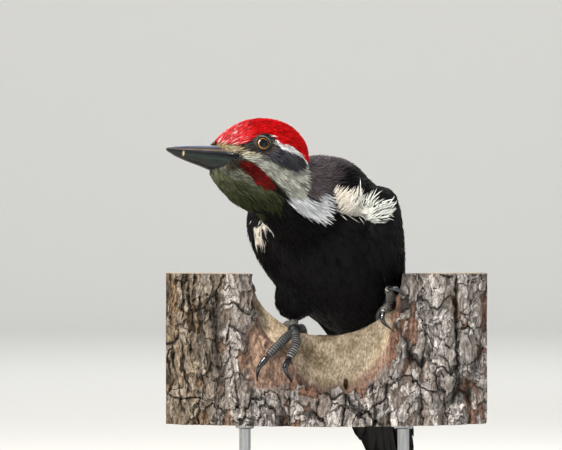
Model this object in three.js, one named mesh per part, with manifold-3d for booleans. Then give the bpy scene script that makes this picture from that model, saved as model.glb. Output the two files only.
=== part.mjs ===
// A male pileated woodpecker, life size, as a still display model. It leans out over the edge of a
// cut piece of trunk with its head turned to its right, and the piece stands on two rods and a base.
//
// Millimetres, +Z up. The viewer stands on the -Y side, +X is to the viewer's right, and the origin
// is the centre of the base's underside. The bird's left side is the one towards +X.
//
// Feathered parts are lofts of egg-shaped sections. They are joined, and then parted by thin plane
// cuts where a person would name the head, neck and trunk.
import * as THREE from "three";
import { mergeVertices } from "three/addons/utils/BufferGeometryUtils.js";
import Module from "manifold-3d";

const wasm = await Module();
wasm.setup();

// ---------------------------------------------------------------- driving dimensions
const GAP = 0.3; // room kept between pieces that touch
const BASE_FORWARD = 35; // how far the base's centre lies behind the front of the bark

const BODY = { yaw: 25, pitch: 48, roll: 7, at: [8, 38, 251] }; // degrees, and its middle
const HEAD = { yaw: 60, pitch: 8, roll: 10, at: [-57, -58, 332] }; // the point between the eyes

const TAIL_LENGTH = 158;
const TAIL_DROP = 13; // degrees that the tail bends down from the trunk's axis
const WING_BEND = 60; // where the folded wing starts, along the trunk's axis
const WING_LENGTH = 226; // from the bend to the longest primary

const TRUNK_RADIUS = 230; // of the tree that the piece is cut from
const PIECE = { left: -124, right: 128, bottom: 117, top: 235, thick: 36 };
const HOLE_EDGE = [ // x and z round the hole at the bark, open at the top
  [-57, 295], [-57, 219], [-53, 197], [-44, 175], [-24, 166], [-21.5, 149], [-7.6, 147],
  [9.3, 142], [31.6, 146], [48, 158.5], [53, 180.7], [54.7, 209.5], [60, 226], [60.5, 295],
];
const RIM = { x: 2, z: 236, half: 60, drop: 50, depth: 24 }; // its narrower, oval edge deeper in

const BASE = { width: 250, depth: 240, height: 18, corner: 22 };
const ROD = { radius: 4.5, x: 62 };

// ---------------------------------------------------------------- small tools
const V = (x, y, z) => new THREE.Vector3(x, y, z);
const DEG = Math.PI / 180;
const lerp = THREE.MathUtils.lerp;

// A smooth curve through [position, value] pairs, as a function.
function through(pairs) {
  const slope = (i) => {
    const a = pairs[Math.max(0, i - 1)];
    const b = pairs[Math.min(pairs.length - 1, i + 1)];
    return (b[1] - a[1]) / (b[0] - a[0]);
  };
  return (x) => {
    let i = 0;
    while (i < pairs.length - 2 && x > pairs[i + 1][0]) i++;
    const [[x0, y0], [x1, y1]] = [pairs[i], pairs[i + 1]];
    const h = x1 - x0;
    const t = THREE.MathUtils.clamp((x - x0) / h, 0, 1);
    const t2 = t * t;
    const t3 = t2 * t;
    return (
      (2 * t3 - 3 * t2 + 1) * y0 + (t3 - 2 * t2 + t) * h * slope(i) +
      (3 * t2 - 2 * t3) * y1 + (t3 - t2) * h * slope(i + 1)
    );
  };
}

// A frame with x forward, y to the bird's left and z up.
function frameOf({ yaw, pitch, roll, at }) {
  const flat = V(-Math.sin(yaw * DEG), -Math.cos(yaw * DEG), 0);
  const side = V(Math.cos(yaw * DEG), -Math.sin(yaw * DEG), 0);
  const lean = V(0, 0, 1);
  const turned = (a, b, angle) =>
    a.clone().multiplyScalar(Math.cos(angle * DEG)).addScaledVector(b, Math.sin(angle * DEG));
  const forward = turned(flat, lean, pitch);
  const rise = turned(lean, flat, -pitch);
  const left = turned(side, rise, roll);
  const up = turned(rise, side, -roll);
  return new THREE.Matrix4().makeBasis(forward, left, up).setPosition(...at);
}

// A closed surface through rings of equally many points, its ends closed from their middles.
function loft(rings) {
  const count = rings[0].length;
  const points = rings.flat();
  const faces = [];
  for (let r = 0; r + 1 < rings.length; r++) {
    for (let i = 0; i < count; i++) {
      const j = (i + 1) % count;
      const [a, b, c, d] = [r * count + i, r * count + j, (r + 1) * count + j, (r + 1) * count + i];
      faces.push(a, b, c, a, c, d);
    }
  }
  for (const r of [0, rings.length - 1]) {
    const middle = points.length;
    points.push(rings[r].reduce((sum, p) => sum.add(p), V(0, 0, 0)).divideScalar(count));
    for (let i = 0; i < count; i++) {
      const j = (i + 1) % count;
      faces.push(middle, r * count + (r ? i : j), r * count + (r ? j : i));
    }
  }
  const geometry = new THREE.BufferGeometry().setFromPoints(points);
  geometry.setIndex(faces);
  return geometry;
}

// A closed geometry as a solid that can be joined and cut, whichever way its faces run.
function solid(geometry) {
  for (const name of ["normal", "uv"]) geometry.deleteAttribute(name);
  const merged = mergeVertices(geometry, 1e-4);
  const p = merged.attributes.position;
  const tri = new Uint32Array(merged.index.array);
  const [a, b, c] = [V(0, 0, 0), V(0, 0, 0), V(0, 0, 0)];
  let volume = 0;
  for (let i = 0; i < tri.length; i += 3) {
    a.fromBufferAttribute(p, tri[i]);
    b.fromBufferAttribute(p, tri[i + 1]);
    c.fromBufferAttribute(p, tri[i + 2]);
    volume += a.dot(b.cross(c));
  }
  if (volume < 0) {
    for (let i = 0; i < tri.length; i += 3) [tri[i + 1], tri[i + 2]] = [tri[i + 2], tri[i + 1]];
  }
  const mesh = new wasm.Mesh({ numProp: 3, vertProperties: new Float32Array(p.array), triVerts: tri });
  return new wasm.Manifold(mesh);
}

function geometryOf(made) {
  const { vertProperties, triVerts, numProp } = made.getMesh();
  const points = [];
  for (let i = 0; i < vertProperties.length; i += numProp) {
    points.push(V(vertProperties[i], vertProperties[i + 1], vertProperties[i + 2]));
  }
  const geometry = new THREE.BufferGeometry().setFromPoints(points);
  geometry.setIndex([...triVerts]);
  return geometry;
}

// Keeps the largest body of a solid, because a cut can leave slivers behind.
const largest = (made) => made.decompose().reduce((a, b) => (a.volume() > b.volume() ? a : b));

// A slab that fills the space on one side of a plane, for parting.
function halfSpace(point, normal) {
  const size = 600;
  const box = new THREE.BoxGeometry(size, size, size).translate(0, 0, size / 2);
  const turn = new THREE.Quaternion().setFromUnitVectors(V(0, 0, 1), normal.clone().normalize());
  box.applyQuaternion(turn).translate(point.x, point.y, point.z);
  return solid(box);
}

function ball(centre, radius, detail = 14) {
  const round = new THREE.SphereGeometry(radius, detail, Math.round(detail * 0.7));
  return solid(round.translate(centre.x, centre.y, centre.z));
}

// ---------------------------------------------------------------- egg-shaped sections
// One ring of a section in the plane of side and up. up and down are its half depths, and pinch
// narrows its upper half, as on a crown or a keel.
function egg(centre, side, rise, { half, up, down, pinch = 0, grow = 0 }, count) {
  return Array.from({ length: count }, (_, i) => {
    const turn = (i / count) * 2 * Math.PI;
    const [c, s] = [Math.cos(turn), Math.sin(turn)];
    const width = (half + grow) * (1 - pinch * Math.max(0, s));
    const height = s > 0 ? up + grow : down + grow;
    return centre.clone().addScaledVector(side, c * width).addScaledVector(rise, s * height);
  });
}

// A loft of eggs along a frame's own x axis.
function eggsAlong(frame, stations, section, grow, count) {
  const [, side, rise] = [V(0, 0, 0), V(0, 0, 0), V(0, 0, 0)];
  frame.extractBasis(V(0, 0, 0), side, rise);
  const last = stations.length - 1;
  const rings = stations.map((x, i) => {
    const { lift = 0, ...shape } = section(x);
    const along = i === 0 ? x - 2 * grow : i === last ? x + 2 * grow : x;
    return egg(V(along, 0, lift).applyMatrix4(frame), side, rise, { ...shape, grow }, count);
  });
  return solid(loft(rings));
}

const spread = (from, to, steps) =>
  Array.from({ length: steps + 1 }, (_, i) => lerp(from, to, i / steps));

// ---------------------------------------------------------------- trunk
const body = frameOf(BODY);
const inBody = (x, y, z) => V(x, y, z).applyMatrix4(body);
const TRUNK_FROM = -98;
const TRUNK_TO = 88;
const trunkHalf = through([
  [-98, 9], [-80, 19], [-55, 33], [-25, 43], [5, 46], [35, 47.5], [60, 47], [78, 38], [88, 20]]);
const trunkUp = through([
  [-98, 6], [-80, 14], [-55, 26], [-25, 38], [5, 45], [35, 46], [60, 41], [78, 29], [88, 13]]);
const trunkDown = through([
  [-98, 7], [-80, 16], [-55, 30], [-25, 42], [5, 48], [35, 46], [60, 38], [78, 25], [88, 11]]);
const trunkSection = (x) => ({ half: trunkHalf(x), up: trunkUp(x), down: trunkDown(x), pinch: 0.04 });
const makeTrunk = (grow = 0) =>
  eggsAlong(body, [...spread(TRUNK_FROM, 60, 12), 70, 79, TRUNK_TO], trunkSection, grow, 20);

// ---------------------------------------------------------------- head
const head = frameOf(HEAD);
const inHead = (x, y, z) => V(x, y, z).applyMatrix4(head);
const headTop = through([[-51, 4], [-46, 12], [-38, 19.8], [-24, 24.3], [-10, 24.4], [4, 21],
  [16, 14.5], [26, 6.5], [33, -1.5], [36, -5]]);
const headBottom = through([[-51, -8], [-46, -17], [-38, -25], [-24, -31], [-10, -33], [4, -32],
  [16, -29], [26, -25], [33, -21], [36, -17]]);
const headHalf = through([[-51, 3], [-46, 10], [-38, 16], [-24, 21], [-10, 22.5], [4, 20.5],
  [16, 15.6], [26, 10], [33, 7], [36, 4]]);
function headSection(x) {
  const lift = lerp(headTop(x), headBottom(x), 0.58);
  return { half: headHalf(x), up: headTop(x) - lift, down: lift - headBottom(x), pinch: 0.12, lift };
}
// The feathered throat hangs full below the jaw, from the chin to the neck.
const THROAT = {
  line: [[33, -15], [18, -23], [3, -29], [-12, -31], [-28, -29]],
  radii: [7.5, 14, 17.5, 19.5, 15],
};
function makeHead(grow = 0) {
  const line = THROAT.line.map(([x, z]) => inHead(x, 0, z).toArray());
  const throat = limb(line, THROAT.radii.map((r) => r + grow), 6, 12);
  return eggsAlong(head, [-51, -49, ...spread(-45, 30, 9), 33.5, 36], headSection, grow, 18).add(throat);
}

// ---------------------------------------------------------------- neck
// It leaves the trunk's front, swings towards the viewer and comes up into the head from below.
const neckCurve = new THREE.CubicBezierCurve3(
  inBody(28, 0, 2), inBody(82, -4, -10), inHead(-34, -6, -44), inHead(-12, 0, -8));
const neckHalf = through([[0, 40], [0.3, 35], [0.6, 28], [1, 20]]);
const neckDeep = through([[0, 42], [0.3, 36], [0.6, 29], [1, 21]]);
function makeNeck(grow = 0) {
  const [bodyUp, headUp] = [V(0, 0, 0), V(0, 0, 0)];
  body.extractBasis(V(0, 0, 0), V(0, 0, 0), bodyUp);
  head.extractBasis(V(0, 0, 0), V(0, 0, 0), headUp);
  const rings = spread(0, 1, 9).map((t) => {
    const along = neckCurve.getTangent(t);
    const rise = bodyUp.clone().lerp(headUp, t);
    rise.addScaledVector(along, -rise.dot(along)).normalize();
    const side = rise.clone().cross(along);
    const shape = { half: neckHalf(t), up: neckDeep(t), down: neckDeep(t), grow };
    return egg(neckCurve.getPoint(t), side, rise, shape, 20);
  });
  return solid(loft(rings));
}

// The whole feathered body as one, grown by some room, to cut its neighbours with.
const makeFlesh = (grow = 0) => makeTrunk(grow).add(makeNeck(grow)).add(makeHead(grow));
const flesh = makeFlesh();
const fleshRoom = makeFlesh(1.4 * GAP);

// ---------------------------------------------------------------- eyes
const EYE = { x: -0.3, side: 15.8, z: -1.5, radius: 6.2 };
const eyeAt = (side) => inHead(EYE.x, side * EYE.side, EYE.z);

// ---------------------------------------------------------------- bill
// A straight chisel. Both halves are lofts whose sections meet along the line of the mouth.
const BILL_TIP = 72.5;
const BILL_ROOT = 22;
const mouthLine = through([[22, -12], [34, -12.1], [60, -13.3], [72.5, -12.6]]);
const ridge = through([[22, -1.5], [34, -4.4], [45, -6], [55.6, -7.4], [65, -9.6], [72.5, -11.6]]);
const keel = through([[22, -24], [34.8, -22.9], [44.4, -20.9], [55.2, -19.1], [64, -17], [72.5, -13.6]]);
const billHalf = through([[22, 9.4], [36, 7.6], [52, 5.2], [64, 3], [72.5, 0.9]]);
function billHalfSolid(edge, above, grow = 0) {
  const stations = spread(BILL_ROOT, BILL_TIP, 9);
  const sign = above ? 1 : -1;
  const rings = stations.map((x) => {
    const base = mouthLine(x) + sign * GAP / 2;
    const height = Math.abs(edge(x) - base) + grow;
    return spread(0, 1, 8).map((t) => {
      const turn = t * Math.PI;
      const out = Math.cos(turn) * (billHalf(x) + grow);
      const high = Math.pow(Math.sin(turn), above ? 0.85 : 0.75) * height;
      return inHead(x, out, base + sign * high);
    });
  });
  return solid(loft(rings));
}
const billUpper = largest(billHalfSolid(ridge, true).subtract(fleshRoom));
const billLower = largest(billHalfSolid(keel, false).subtract(fleshRoom));

// ---------------------------------------------------------------- parting the flesh
const neckAxis = neckCurve.getPoint(0.42).sub(inHead(0, 0, 0)).normalize();
const headCut = inHead(0, 0, 0).addScaledVector(neckAxis, 43);
const headwards = neckAxis.clone().negate();
const trunkCut = neckCurve.getPoint(0.42);
const neckwards = neckCurve.getTangent(0.42);
const off = (point, normal, distance) => point.clone().addScaledVector(normal, distance);
const bothEyes = ball(eyeAt(1), EYE.radius + GAP, 12).add(ball(eyeAt(-1), EYE.radius + GAP, 12));

const headSide = halfSpace(off(headCut, headwards, GAP / 2), headwards);
const headPiece = largest(flesh.intersect(headSide).subtract(bothEyes));
const belowHead = flesh.subtract(halfSpace(off(headCut, headwards, -GAP / 2), headwards));
const neckPiece = largest(belowHead.intersect(halfSpace(off(trunkCut, neckwards, GAP / 2), neckwards)));
const trunkPiece = largest(belowHead.subtract(halfSpace(off(trunkCut, neckwards, -GAP / 2), neckwards)));

// ---------------------------------------------------------------- tail
// Stiff pointed feathers, fanned a little, shallowly vaulted, each end a notch in the outline.
const TAIL_ROOT = 66; // how far behind the trunk's middle it starts
const TAIL_FEATHERS = 5; // points along its end
const tailFrame = body.clone()
  .multiply(new THREE.Matrix4().makeTranslation(-TAIL_ROOT, 0, 2))
  .multiply(new THREE.Matrix4().makeRotationY(-TAIL_DROP * DEG));
const tailHalf = through([[0, 17], [50, 23], [105, 26], [140, 21], [158, 8]]);
function tailSolid() {
  const rings = [0, 30, 65, 98, 122, 140, 152, TAIL_LENGTH].map((x) => {
    const half = tailHalf(x);
    const thick = lerp(4.5, 1, x / TAIL_LENGTH);
    const arc = (t) => V(-x, half * t, -7 * t * t);
    const upper = spread(-1, 1, 8).map((t) => arc(t).add(V(0, 0, thick * (1 - 0.6 * t * t))));
    const lower = spread(1, -1, 8).map((t) => arc(t).add(V(0, 0, -0.5)));
    return [...upper, ...lower].map((p) => p.applyMatrix4(tailFrame));
  });
  let tail = solid(loft(rings));
  for (let i = 1; i < TAIL_FEATHERS; i++) {
    const t = lerp(-1, 1, i / TAIL_FEATHERS);
    const deep = TAIL_LENGTH - 22 - 26 * Math.abs(t);
    const across = t * tailHalf(140) * 0.9;
    const notch = new THREE.ConeGeometry(2.4, 40, 4).rotateX(Math.PI / 2).rotateY(Math.PI / 2);
    notch.scale(1, 1, 6).translate(-(deep + 20), across, 0).applyMatrix4(tailFrame);
    tail = tail.subtract(solid(notch));
  }
  return tail;
}

// ---------------------------------------------------------------- wings
// A folded wing wraps the trunk's side from its bend to its tip. x runs back from the bend. Angles
// are round the trunk's section from its side, up towards the back.
const wrapHalf = through([
  [-98, 22], [-80, 25], [-55, 34], [-25, 42], [5, 46.5], [35, 47], [60, 41], [80, 30]]);
const wrapUp = through([
  [-98, 15], [-80, 19], [-55, 28], [-25, 39], [5, 46], [35, 48], [60, 44], [80, 33]]);
const wingLow = through([[0, -24], [20, -30], [60, -34], [110, -22], [150, 4], [190, 30], [226, 50]]);
const wingHigh = through([[0, 16], [20, 30], [60, 56], [110, 72], [150, 78], [190, 80], [226, 62]]);
const wingThick = through([[0, 2], [6, 7], [18, 9.5], [50, 8], [90, 6], [150, 4], [226, 1.6]]);
const WING_STAND = { left: 6, right: 3 }; // how far the bend is held off the body
const WING_NOSE = { length: 24, turn: 2 }; // the rounded front of the bend
const WING_PART = 118; // where the coverts end and the long primaries show alone
function wingRing(name, back, grow) {
  const side = name === "left" ? 1 : -1;
  const x = WING_BEND - back;
  const at = Math.max(x, -98);
  const sag = Math.max(0, -TAIL_ROOT - x) * Math.tan(TAIL_DROP * DEG);
  const place = (turn, out) => {
    const [c, s] = [Math.cos(turn * DEG), Math.sin(turn * DEG)];
    const depth = s > 0 ? wrapUp(at) : trunkDown(at) + 2;
    return V(x, side * c * (wrapHalf(at) + out), s * (depth + out) - sag);
  };
  const stand = 0.6 + WING_STAND[name] * Math.exp(-back / 34);
  const nose = Math.sqrt(THREE.MathUtils.clamp((back + 0.4) / WING_NOSE.length, 0, 1));
  const low = lerp(WING_NOSE.turn, wingLow(back), nose) - grow * 1.5;
  const high = lerp(WING_NOSE.turn, wingHigh(back), nose) + grow * 1.5;
  const steps = 6;
  const outer = spread(0, 1, steps).map((t) => {
    const swell = Math.sqrt(Math.max(0, 1 - Math.pow(2 * t - 1, 4)));
    return place(lerp(low, high, t), stand + 0.6 + wingThick(back) * swell + grow);
  });
  const under = back > WING_PART ? 0.6 : 1;
  const inner = spread(1, 0, steps).map((t) => place(lerp(low, high, t), stand - under - grow));
  return [...outer, ...inner].map((p) => p.applyMatrix4(body));
}
function makeWing(name, stations, grow = 0) {
  const last = stations.length - 1;
  const ends = stations.map((back, i) => back + (i === 0 ? -grow : i === last ? grow : 0));
  return solid(loft(ends.map((back) => wingRing(name, back, grow))));
}
const COVERT_STATIONS = [0, 2, 7, 15, 26, ...spread(42, WING_PART, 5)];
const PRIMARY_STATIONS = spread(WING_PART + GAP, WING_LENGTH, 7);

// ---------------------------------------------------------------- legs
// Each foot: where the toes meet, the heel behind it, and for each toe its bend, its end and claw.
const FEET = {
  right: {
    knob: [-23.5, 16, 190.5],
    heel: [-24, 48, 201],
    hip: { from: [6, -16, -14], by: [-23, -33, -35], radii: [21, 16, 5.4] },
    toes: [
      {
        bend: [-33, 6, 182.5], end: [-44.4, -1, 171],
        curl: [-51, -4, 162], tip: [-52.6, 6, 151], radius: 3.4,
      },
      {
        bend: [-22, 5, 181], end: [-27.5, -2, 169.5],
        curl: [-30.5, -6, 162], tip: [-23.5, 2, 148], radius: 3.4,
      },
      {
        bend: [-29, 34, 195], end: [-34, 45, 187],
        curl: [-36, 48, 179], tip: [-35, 41, 172], radius: 2.8,
      },
      {
        bend: [-17, 34, 192], end: [-15, 44, 184],
        curl: [-14, 46, 176], tip: [-14, 38, 170], radius: 2.8,
      },
    ],
  },
  left: {
    knob: [51, 17, 211],
    heel: [46, 53, 207],
    hip: { from: [14, 10, -14], by: [-26, 28, -21], radii: [19, 14, 5.2] },
    toes: [
      {
        bend: [51, 8, 218], end: [49, -1, 224],
        curl: [56, -6, 223], tip: [66, 2, 215], radius: 3.2,
      },
      {
        bend: [48, 9, 208], end: [45, 1, 206],
        curl: [45, -3, 199], tip: [54, 4, 190], radius: 3.2,
      },
      {
        bend: [49, 33, 211], end: [53, 48, 203],
        curl: [55, 51, 196], tip: [57, 46, 190], radius: 2.8,
      },
      {
        bend: [44, 31, 204], end: [44, 46, 197],
        curl: [46, 49, 189], tip: [48, 43, 183], radius: 2.8,
      },
    ],
  },
};

// A round limb along a smooth line through points, its radius given at each of them.
function limb(points, radii, steps, count = 8, squeeze = 1) {
  const curve = new THREE.CatmullRomCurve3(points.map((p) => V(...p)), false, "centripetal");
  const size = through(radii.map((r, i) => [i / (radii.length - 1), r]));
  const frames = curve.computeFrenetFrames(steps, false);
  const rings = spread(0, 1, steps).map((t, i) => {
    const [n, b] = [frames.normals[i], frames.binormals[i]];
    return Array.from({ length: count }, (_, k) => {
      const turn = (k / count) * 2 * Math.PI;
      return curve.getPoint(t)
        .addScaledVector(n, Math.cos(turn) * size(t))
        .addScaledVector(b, Math.sin(turn) * size(t) * squeeze);
    });
  });
  return solid(loft(rings));
}

// The first point of a line moved a little way along it, to leave room behind it.
function onward([from, to]) {
  const [a, b] = [V(...from), V(...to)];
  return a.lerp(b, GAP / a.distanceTo(b)).toArray();
}

// ---------------------------------------------------------------- perch
// A piece of the tree's wall, bark outside, with the lower half of an oval hole in its top edge.
const barkFace = (x) => TRUNK_RADIUS - Math.sqrt(TRUNK_RADIUS ** 2 - x ** 2);

// Long plates between furrows: how far the bark stands out at a place. Under the right foot the
// plates have come away.
const PLATE_WIDTH = 21;
const PLATE_TALL = 47;
function barkRelief(x, z) {
  const lean = x + (z - 170) * 0.09 + 4 * Math.sin(z * 0.045 + x * 0.02);
  const column = Math.floor(lean / PLATE_WIDTH);
  const across = lean / PLATE_WIDTH - column;
  const shift = column * 19 + 9 * Math.sin(column * 2.3);
  const down = (((z + shift) / PLATE_TALL) % 1 + 1) % 1;
  const wall = Math.min(1, Math.min(across, 1 - across) * 6);
  const step = Math.min(1, Math.min(down, 1 - down) * 11);
  const bare = Math.exp(-(((x + 40) / 22) ** 6) - ((z - 172) / 27) ** 6);
  const thick = 1.3 * Math.sin(column * 5.1 + Math.floor((z + shift) / PLATE_TALL) * 2.7);
  return (4.2 * Math.min(wall, 0.35 + 0.65 * step) + thick) * (1 - 0.85 * bare);
}

function perchSolid() {
  const [columns, rows] = [28, 11];
  const grid = spread(PIECE.bottom, PIECE.top, rows).map((z) =>
    spread(PIECE.left, PIECE.right, columns).map((x) => V(x, barkFace(x) - barkRelief(x, z), z)));
  const far = 110;
  const rings = grid.map((row) => [...row, V(PIECE.right, far, row[0].z), V(PIECE.left, far, row[0].z)]);
  return solid(loft(rings));
}

// The hollow of the tree behind the piece: a cylinder, with the hole's inner scoop.
function hollowSolid() {
  const inner = TRUNK_RADIUS - PIECE.thick;
  const round = new THREE.CylinderGeometry(inner, inner, 400, 30).rotateX(Math.PI / 2);
  round.translate(0, TRUNK_RADIUS, 200);
  const scoop = new THREE.SphereGeometry(1, 16, 12).scale(104, 62, 96);
  scoop.translate(RIM.x + 8, RIM.depth + 62 + 1.5, RIM.z - RIM.drop + 96 - 4);
  return solid(round).add(solid(scoop));
}

// The hole's rim deeper in: an oval bottom, straight sides and an open top well above the piece.
function rimRing(y, x, half) {
  const low = spread(Math.PI, 2 * Math.PI, HOLE_EDGE.length - 3).map((a) =>
    V(x + half * Math.cos(a), y, RIM.z + RIM.drop * Math.sin(a)));
  return [V(x - half, y, HOLE_EDGE[0][1]), ...low, V(x + half, y, HOLE_EDGE[0][1])];
}
function holeSolid() {
  const edge = (y) => HOLE_EDGE.map(([x, z]) => V(x, y, z));
  return solid(loft([edge(-40), edge(3), rimRing(RIM.depth, RIM.x, RIM.half),
    rimRing(RIM.depth + 4, RIM.x, RIM.half), rimRing(90, RIM.x + 6, RIM.half + 8)]));
}

// ---------------------------------------------------------------- stand
function baseGeometry() {
  const { width, depth, height, corner } = BASE;
  const [w, d] = [width / 2, depth / 2];
  const outline = new THREE.Shape();
  outline.moveTo(-w + corner, -d);
  outline.lineTo(w - corner, -d);
  outline.absarc(w - corner, -d + corner, corner, -Math.PI / 2, 0);
  outline.absarc(w - corner, d - corner, corner, 0, Math.PI / 2);
  outline.absarc(-w + corner, d - corner, corner, Math.PI / 2, Math.PI);
  outline.absarc(-w + corner, -d + corner, corner, Math.PI, 1.5 * Math.PI);
  const made = { depth: height, bevelEnabled: false, curveSegments: 6 };
  const plate = new THREE.ExtrudeGeometry(outline, made);
  return plate.translate(0, BASE_FORWARD, 0);
}

// ---------------------------------------------------------------- materials and assembly
const finish = (color, roughness, metalness = 0) =>
  new THREE.MeshStandardMaterial({ color, roughness, metalness });
const BLACK_FEATHER = finish("#151416", 0.62);
const RED_FEATHER = finish("#c3121a", 0.7);
const HORN = finish("#4a4d55", 0.38);
const CLAW = finish("#26262b", 0.25);
const SCALE = finish("#6b6a6c", 0.55);
const IRIS = finish("#c9862a", 0.15);
const BARK = finish("#8a7b6e", 0.92);
const BASE_WOOD = finish("#3b2a20", 0.4);
const STEEL = finish("#8d9094", 0.35, 1);

const bird = new THREE.Group();
const display = new THREE.Group();
const model = new THREE.Group();
model.add(bird, display);
model.position.y = -BASE_FORWARD;

function add(group, name, geometry, material) {
  const mesh = new THREE.Mesh(geometry, material);
  mesh.name = name;
  group.add(mesh);
}
const addSolid = (name, made, material) => add(bird, name, geometryOf(made), material);

addSolid("head", headPiece, RED_FEATHER);
addSolid("neck", neckPiece, BLACK_FEATHER);
addSolid("trunk", trunkPiece, BLACK_FEATHER);
addSolid("bill_upper", billUpper, HORN);
addSolid("bill_lower", billLower, HORN);
for (const [name, side] of [["left", 1], ["right", -1]]) {
  const ballOf = new THREE.SphereGeometry(EYE.radius, 12, 8);
  const { x, y, z } = eyeAt(side);
  add(bird, `eye_${name}`, ballOf.translate(x, y, z), IRIS);
}

const wingRoom = {};
for (const name of ["left", "right"]) {
  const [coverts, primaries] = [COVERT_STATIONS, PRIMARY_STATIONS];
  addSolid(`wing_${name}`, largest(makeWing(name, coverts).subtract(fleshRoom)), BLACK_FEATHER);
  addSolid(`primaries_${name}`, makeWing(name, primaries), BLACK_FEATHER);
  wingRoom[name] = makeWing(name, coverts, GAP).add(makeWing(name, primaries, GAP));
}
addSolid("tail", largest(tailSolid().subtract(fleshRoom)), BLACK_FEATHER);

let footRoom = ball(inBody(0, 0, 0), 1);
for (const [name, { knob, heel, hip, toes }] of Object.entries(FEET)) {
  const thighLine = [inBody(...hip.from).toArray(), inBody(...hip.by).toArray(), heel];
  const shankLine = [heel, V(...heel).lerp(V(...knob), 0.5).toArray(), knob];
  const makeThigh = (grow) => limb(thighLine, hip.radii.map((r) => r + grow), 5, 10);
  const makeShank = (grow) =>
    limb(shankLine, [4.4, 3.2, 4.2].map((r) => r + grow), 5, 8).add(ball(V(...knob), 5.2 + grow, 8));
  addSolid(`tarsus_${name}`, largest(makeShank(0).subtract(fleshRoom).subtract(makeThigh(GAP))), SCALE);
  footRoom = footRoom.add(makeShank(GAP));
  let used = makeShank(GAP);
  toes.forEach(({ bend, end, curl, tip, radius }, i) => {
    const toeRadii = [1.15 * radius, 1.05 * radius, 0.8 * radius];
    const clawRadii = [0.74 * radius, 0.58 * radius, 0.35];
    const makeToe = (grow) => limb([knob, bend, end], toeRadii.map((r) => r + grow), 4, 7);
    const makeClaw = (grow) =>
      limb([onward([end, curl]), curl, tip], clawRadii.map((r) => r + grow), 4, 6, 0.75);
    addSolid(`toe_${name}_${i + 1}`, largest(makeToe(0).subtract(used)), SCALE);
    used = used.add(makeToe(GAP));
    addSolid(`claw_${name}_${i + 1}`, largest(makeClaw(0).subtract(makeToe(GAP))), CLAW);
    footRoom = footRoom.add(makeToe(GAP)).add(makeClaw(GAP));
  });
  const toesRoom = footRoom.subtract(makeShank(GAP));
  const thigh = makeThigh(0).subtract(fleshRoom).subtract(wingRoom[name]).subtract(toesRoom);
  addSolid(`thigh_${name}`, largest(thigh), BLACK_FEATHER);
}

const perch = perchSolid().subtract(hollowSolid()).subtract(holeSolid()).subtract(footRoom);
add(display, "perch", geometryOf(largest(perch)), BARK);
add(display, "stand_base", baseGeometry(), BASE_WOOD);
for (const [name, side] of [["left", -1], ["right", 1]]) {
  const x = side * ROD.x;
  const y = barkFace(x) + PIECE.thick / 2;
  const length = PIECE.bottom - BASE.height - 2 * GAP;
  const rod = new THREE.CylinderGeometry(ROD.radius, ROD.radius, length, 16).rotateX(Math.PI / 2);
  add(display, `stand_rod_${name}`, rod.translate(x, y, (PIECE.bottom + BASE.height) / 2), STEEL);
}

export default model;
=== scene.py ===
import math

import bmesh
import bpy
import numpy as np
from mathutils import Matrix, Vector, noise
from mathutils.bvhtree import BVHTree
from mathutils.kdtree import KDTree


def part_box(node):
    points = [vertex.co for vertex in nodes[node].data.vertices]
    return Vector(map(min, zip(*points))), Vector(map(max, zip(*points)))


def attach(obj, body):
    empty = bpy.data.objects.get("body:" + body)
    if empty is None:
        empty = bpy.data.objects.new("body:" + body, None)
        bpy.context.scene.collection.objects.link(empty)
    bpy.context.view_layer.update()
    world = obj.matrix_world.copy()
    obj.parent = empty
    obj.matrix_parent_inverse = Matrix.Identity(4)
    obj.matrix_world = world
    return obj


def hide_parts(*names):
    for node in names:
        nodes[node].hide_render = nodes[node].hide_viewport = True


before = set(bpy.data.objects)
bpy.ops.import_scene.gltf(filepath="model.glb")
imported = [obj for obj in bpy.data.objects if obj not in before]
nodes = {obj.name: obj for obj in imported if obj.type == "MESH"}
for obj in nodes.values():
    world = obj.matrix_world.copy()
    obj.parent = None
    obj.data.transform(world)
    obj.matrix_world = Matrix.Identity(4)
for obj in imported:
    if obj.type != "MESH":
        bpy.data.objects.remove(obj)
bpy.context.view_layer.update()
scene = bpy.context.scene

# ------------------------------------------------------------------ studio
# A pale matt floor that sweeps up into a round wall far away, a soft key lamp high on the left and in
# front, one beside the bill that puts a point of light in the eye, a wide pale one, a weak fill on the
# right, a rim lamp, and one for the wall.


def linear(code):
    """An sRGB hex value as linear red, green, blue and alpha."""
    parts = [int(code[i : i + 2], 16) / 255 for i in (1, 3, 5)]
    return [p / 12.92 if p <= 0.04045 else ((p + 0.055) / 1.055) ** 2.4 for p in parts] + [1.0]


def new_material(name):
    made = bpy.data.materials.new(name)
    made.use_nodes = True
    return made, made.node_tree, made.node_tree.nodes["Principled BSDF"]


def add(tree, kind, inputs=None, **settings):
    """A node with its settings. Inputs are set, or linked where they are sockets."""
    made = tree.nodes.new(kind)
    for key, value in settings.items():
        setattr(made, key, value)
    for key, value in (inputs or {}).items():
        if isinstance(value, bpy.types.NodeSocket):
            tree.links.new(value, made.inputs[key])
        else:
            made.inputs[key].default_value = value
    return made


def ramp(tree, fac, stops):
    """A colour ramp through (place, hex) stops."""
    made = add(tree, "ShaderNodeValToRGB", {0: fac})
    elements = made.color_ramp.elements
    while len(elements) < len(stops):
        elements.new(0.5)
    for element, (place, code) in zip(elements, stops):
        element.position = place
        element.color = linear(code)
    return made.outputs[0]


def put(name, mesh, *materials):
    made = bpy.data.objects.new(name, mesh)
    scene.collection.objects.link(made)
    for m in materials:
        mesh.materials.append(m)
    return made


def mesh_of(name, bm):
    """The mesh of a finished bmesh, which is freed."""
    made = bpy.data.meshes.new(name)
    bm.to_mesh(made)
    bm.free()
    return made


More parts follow.
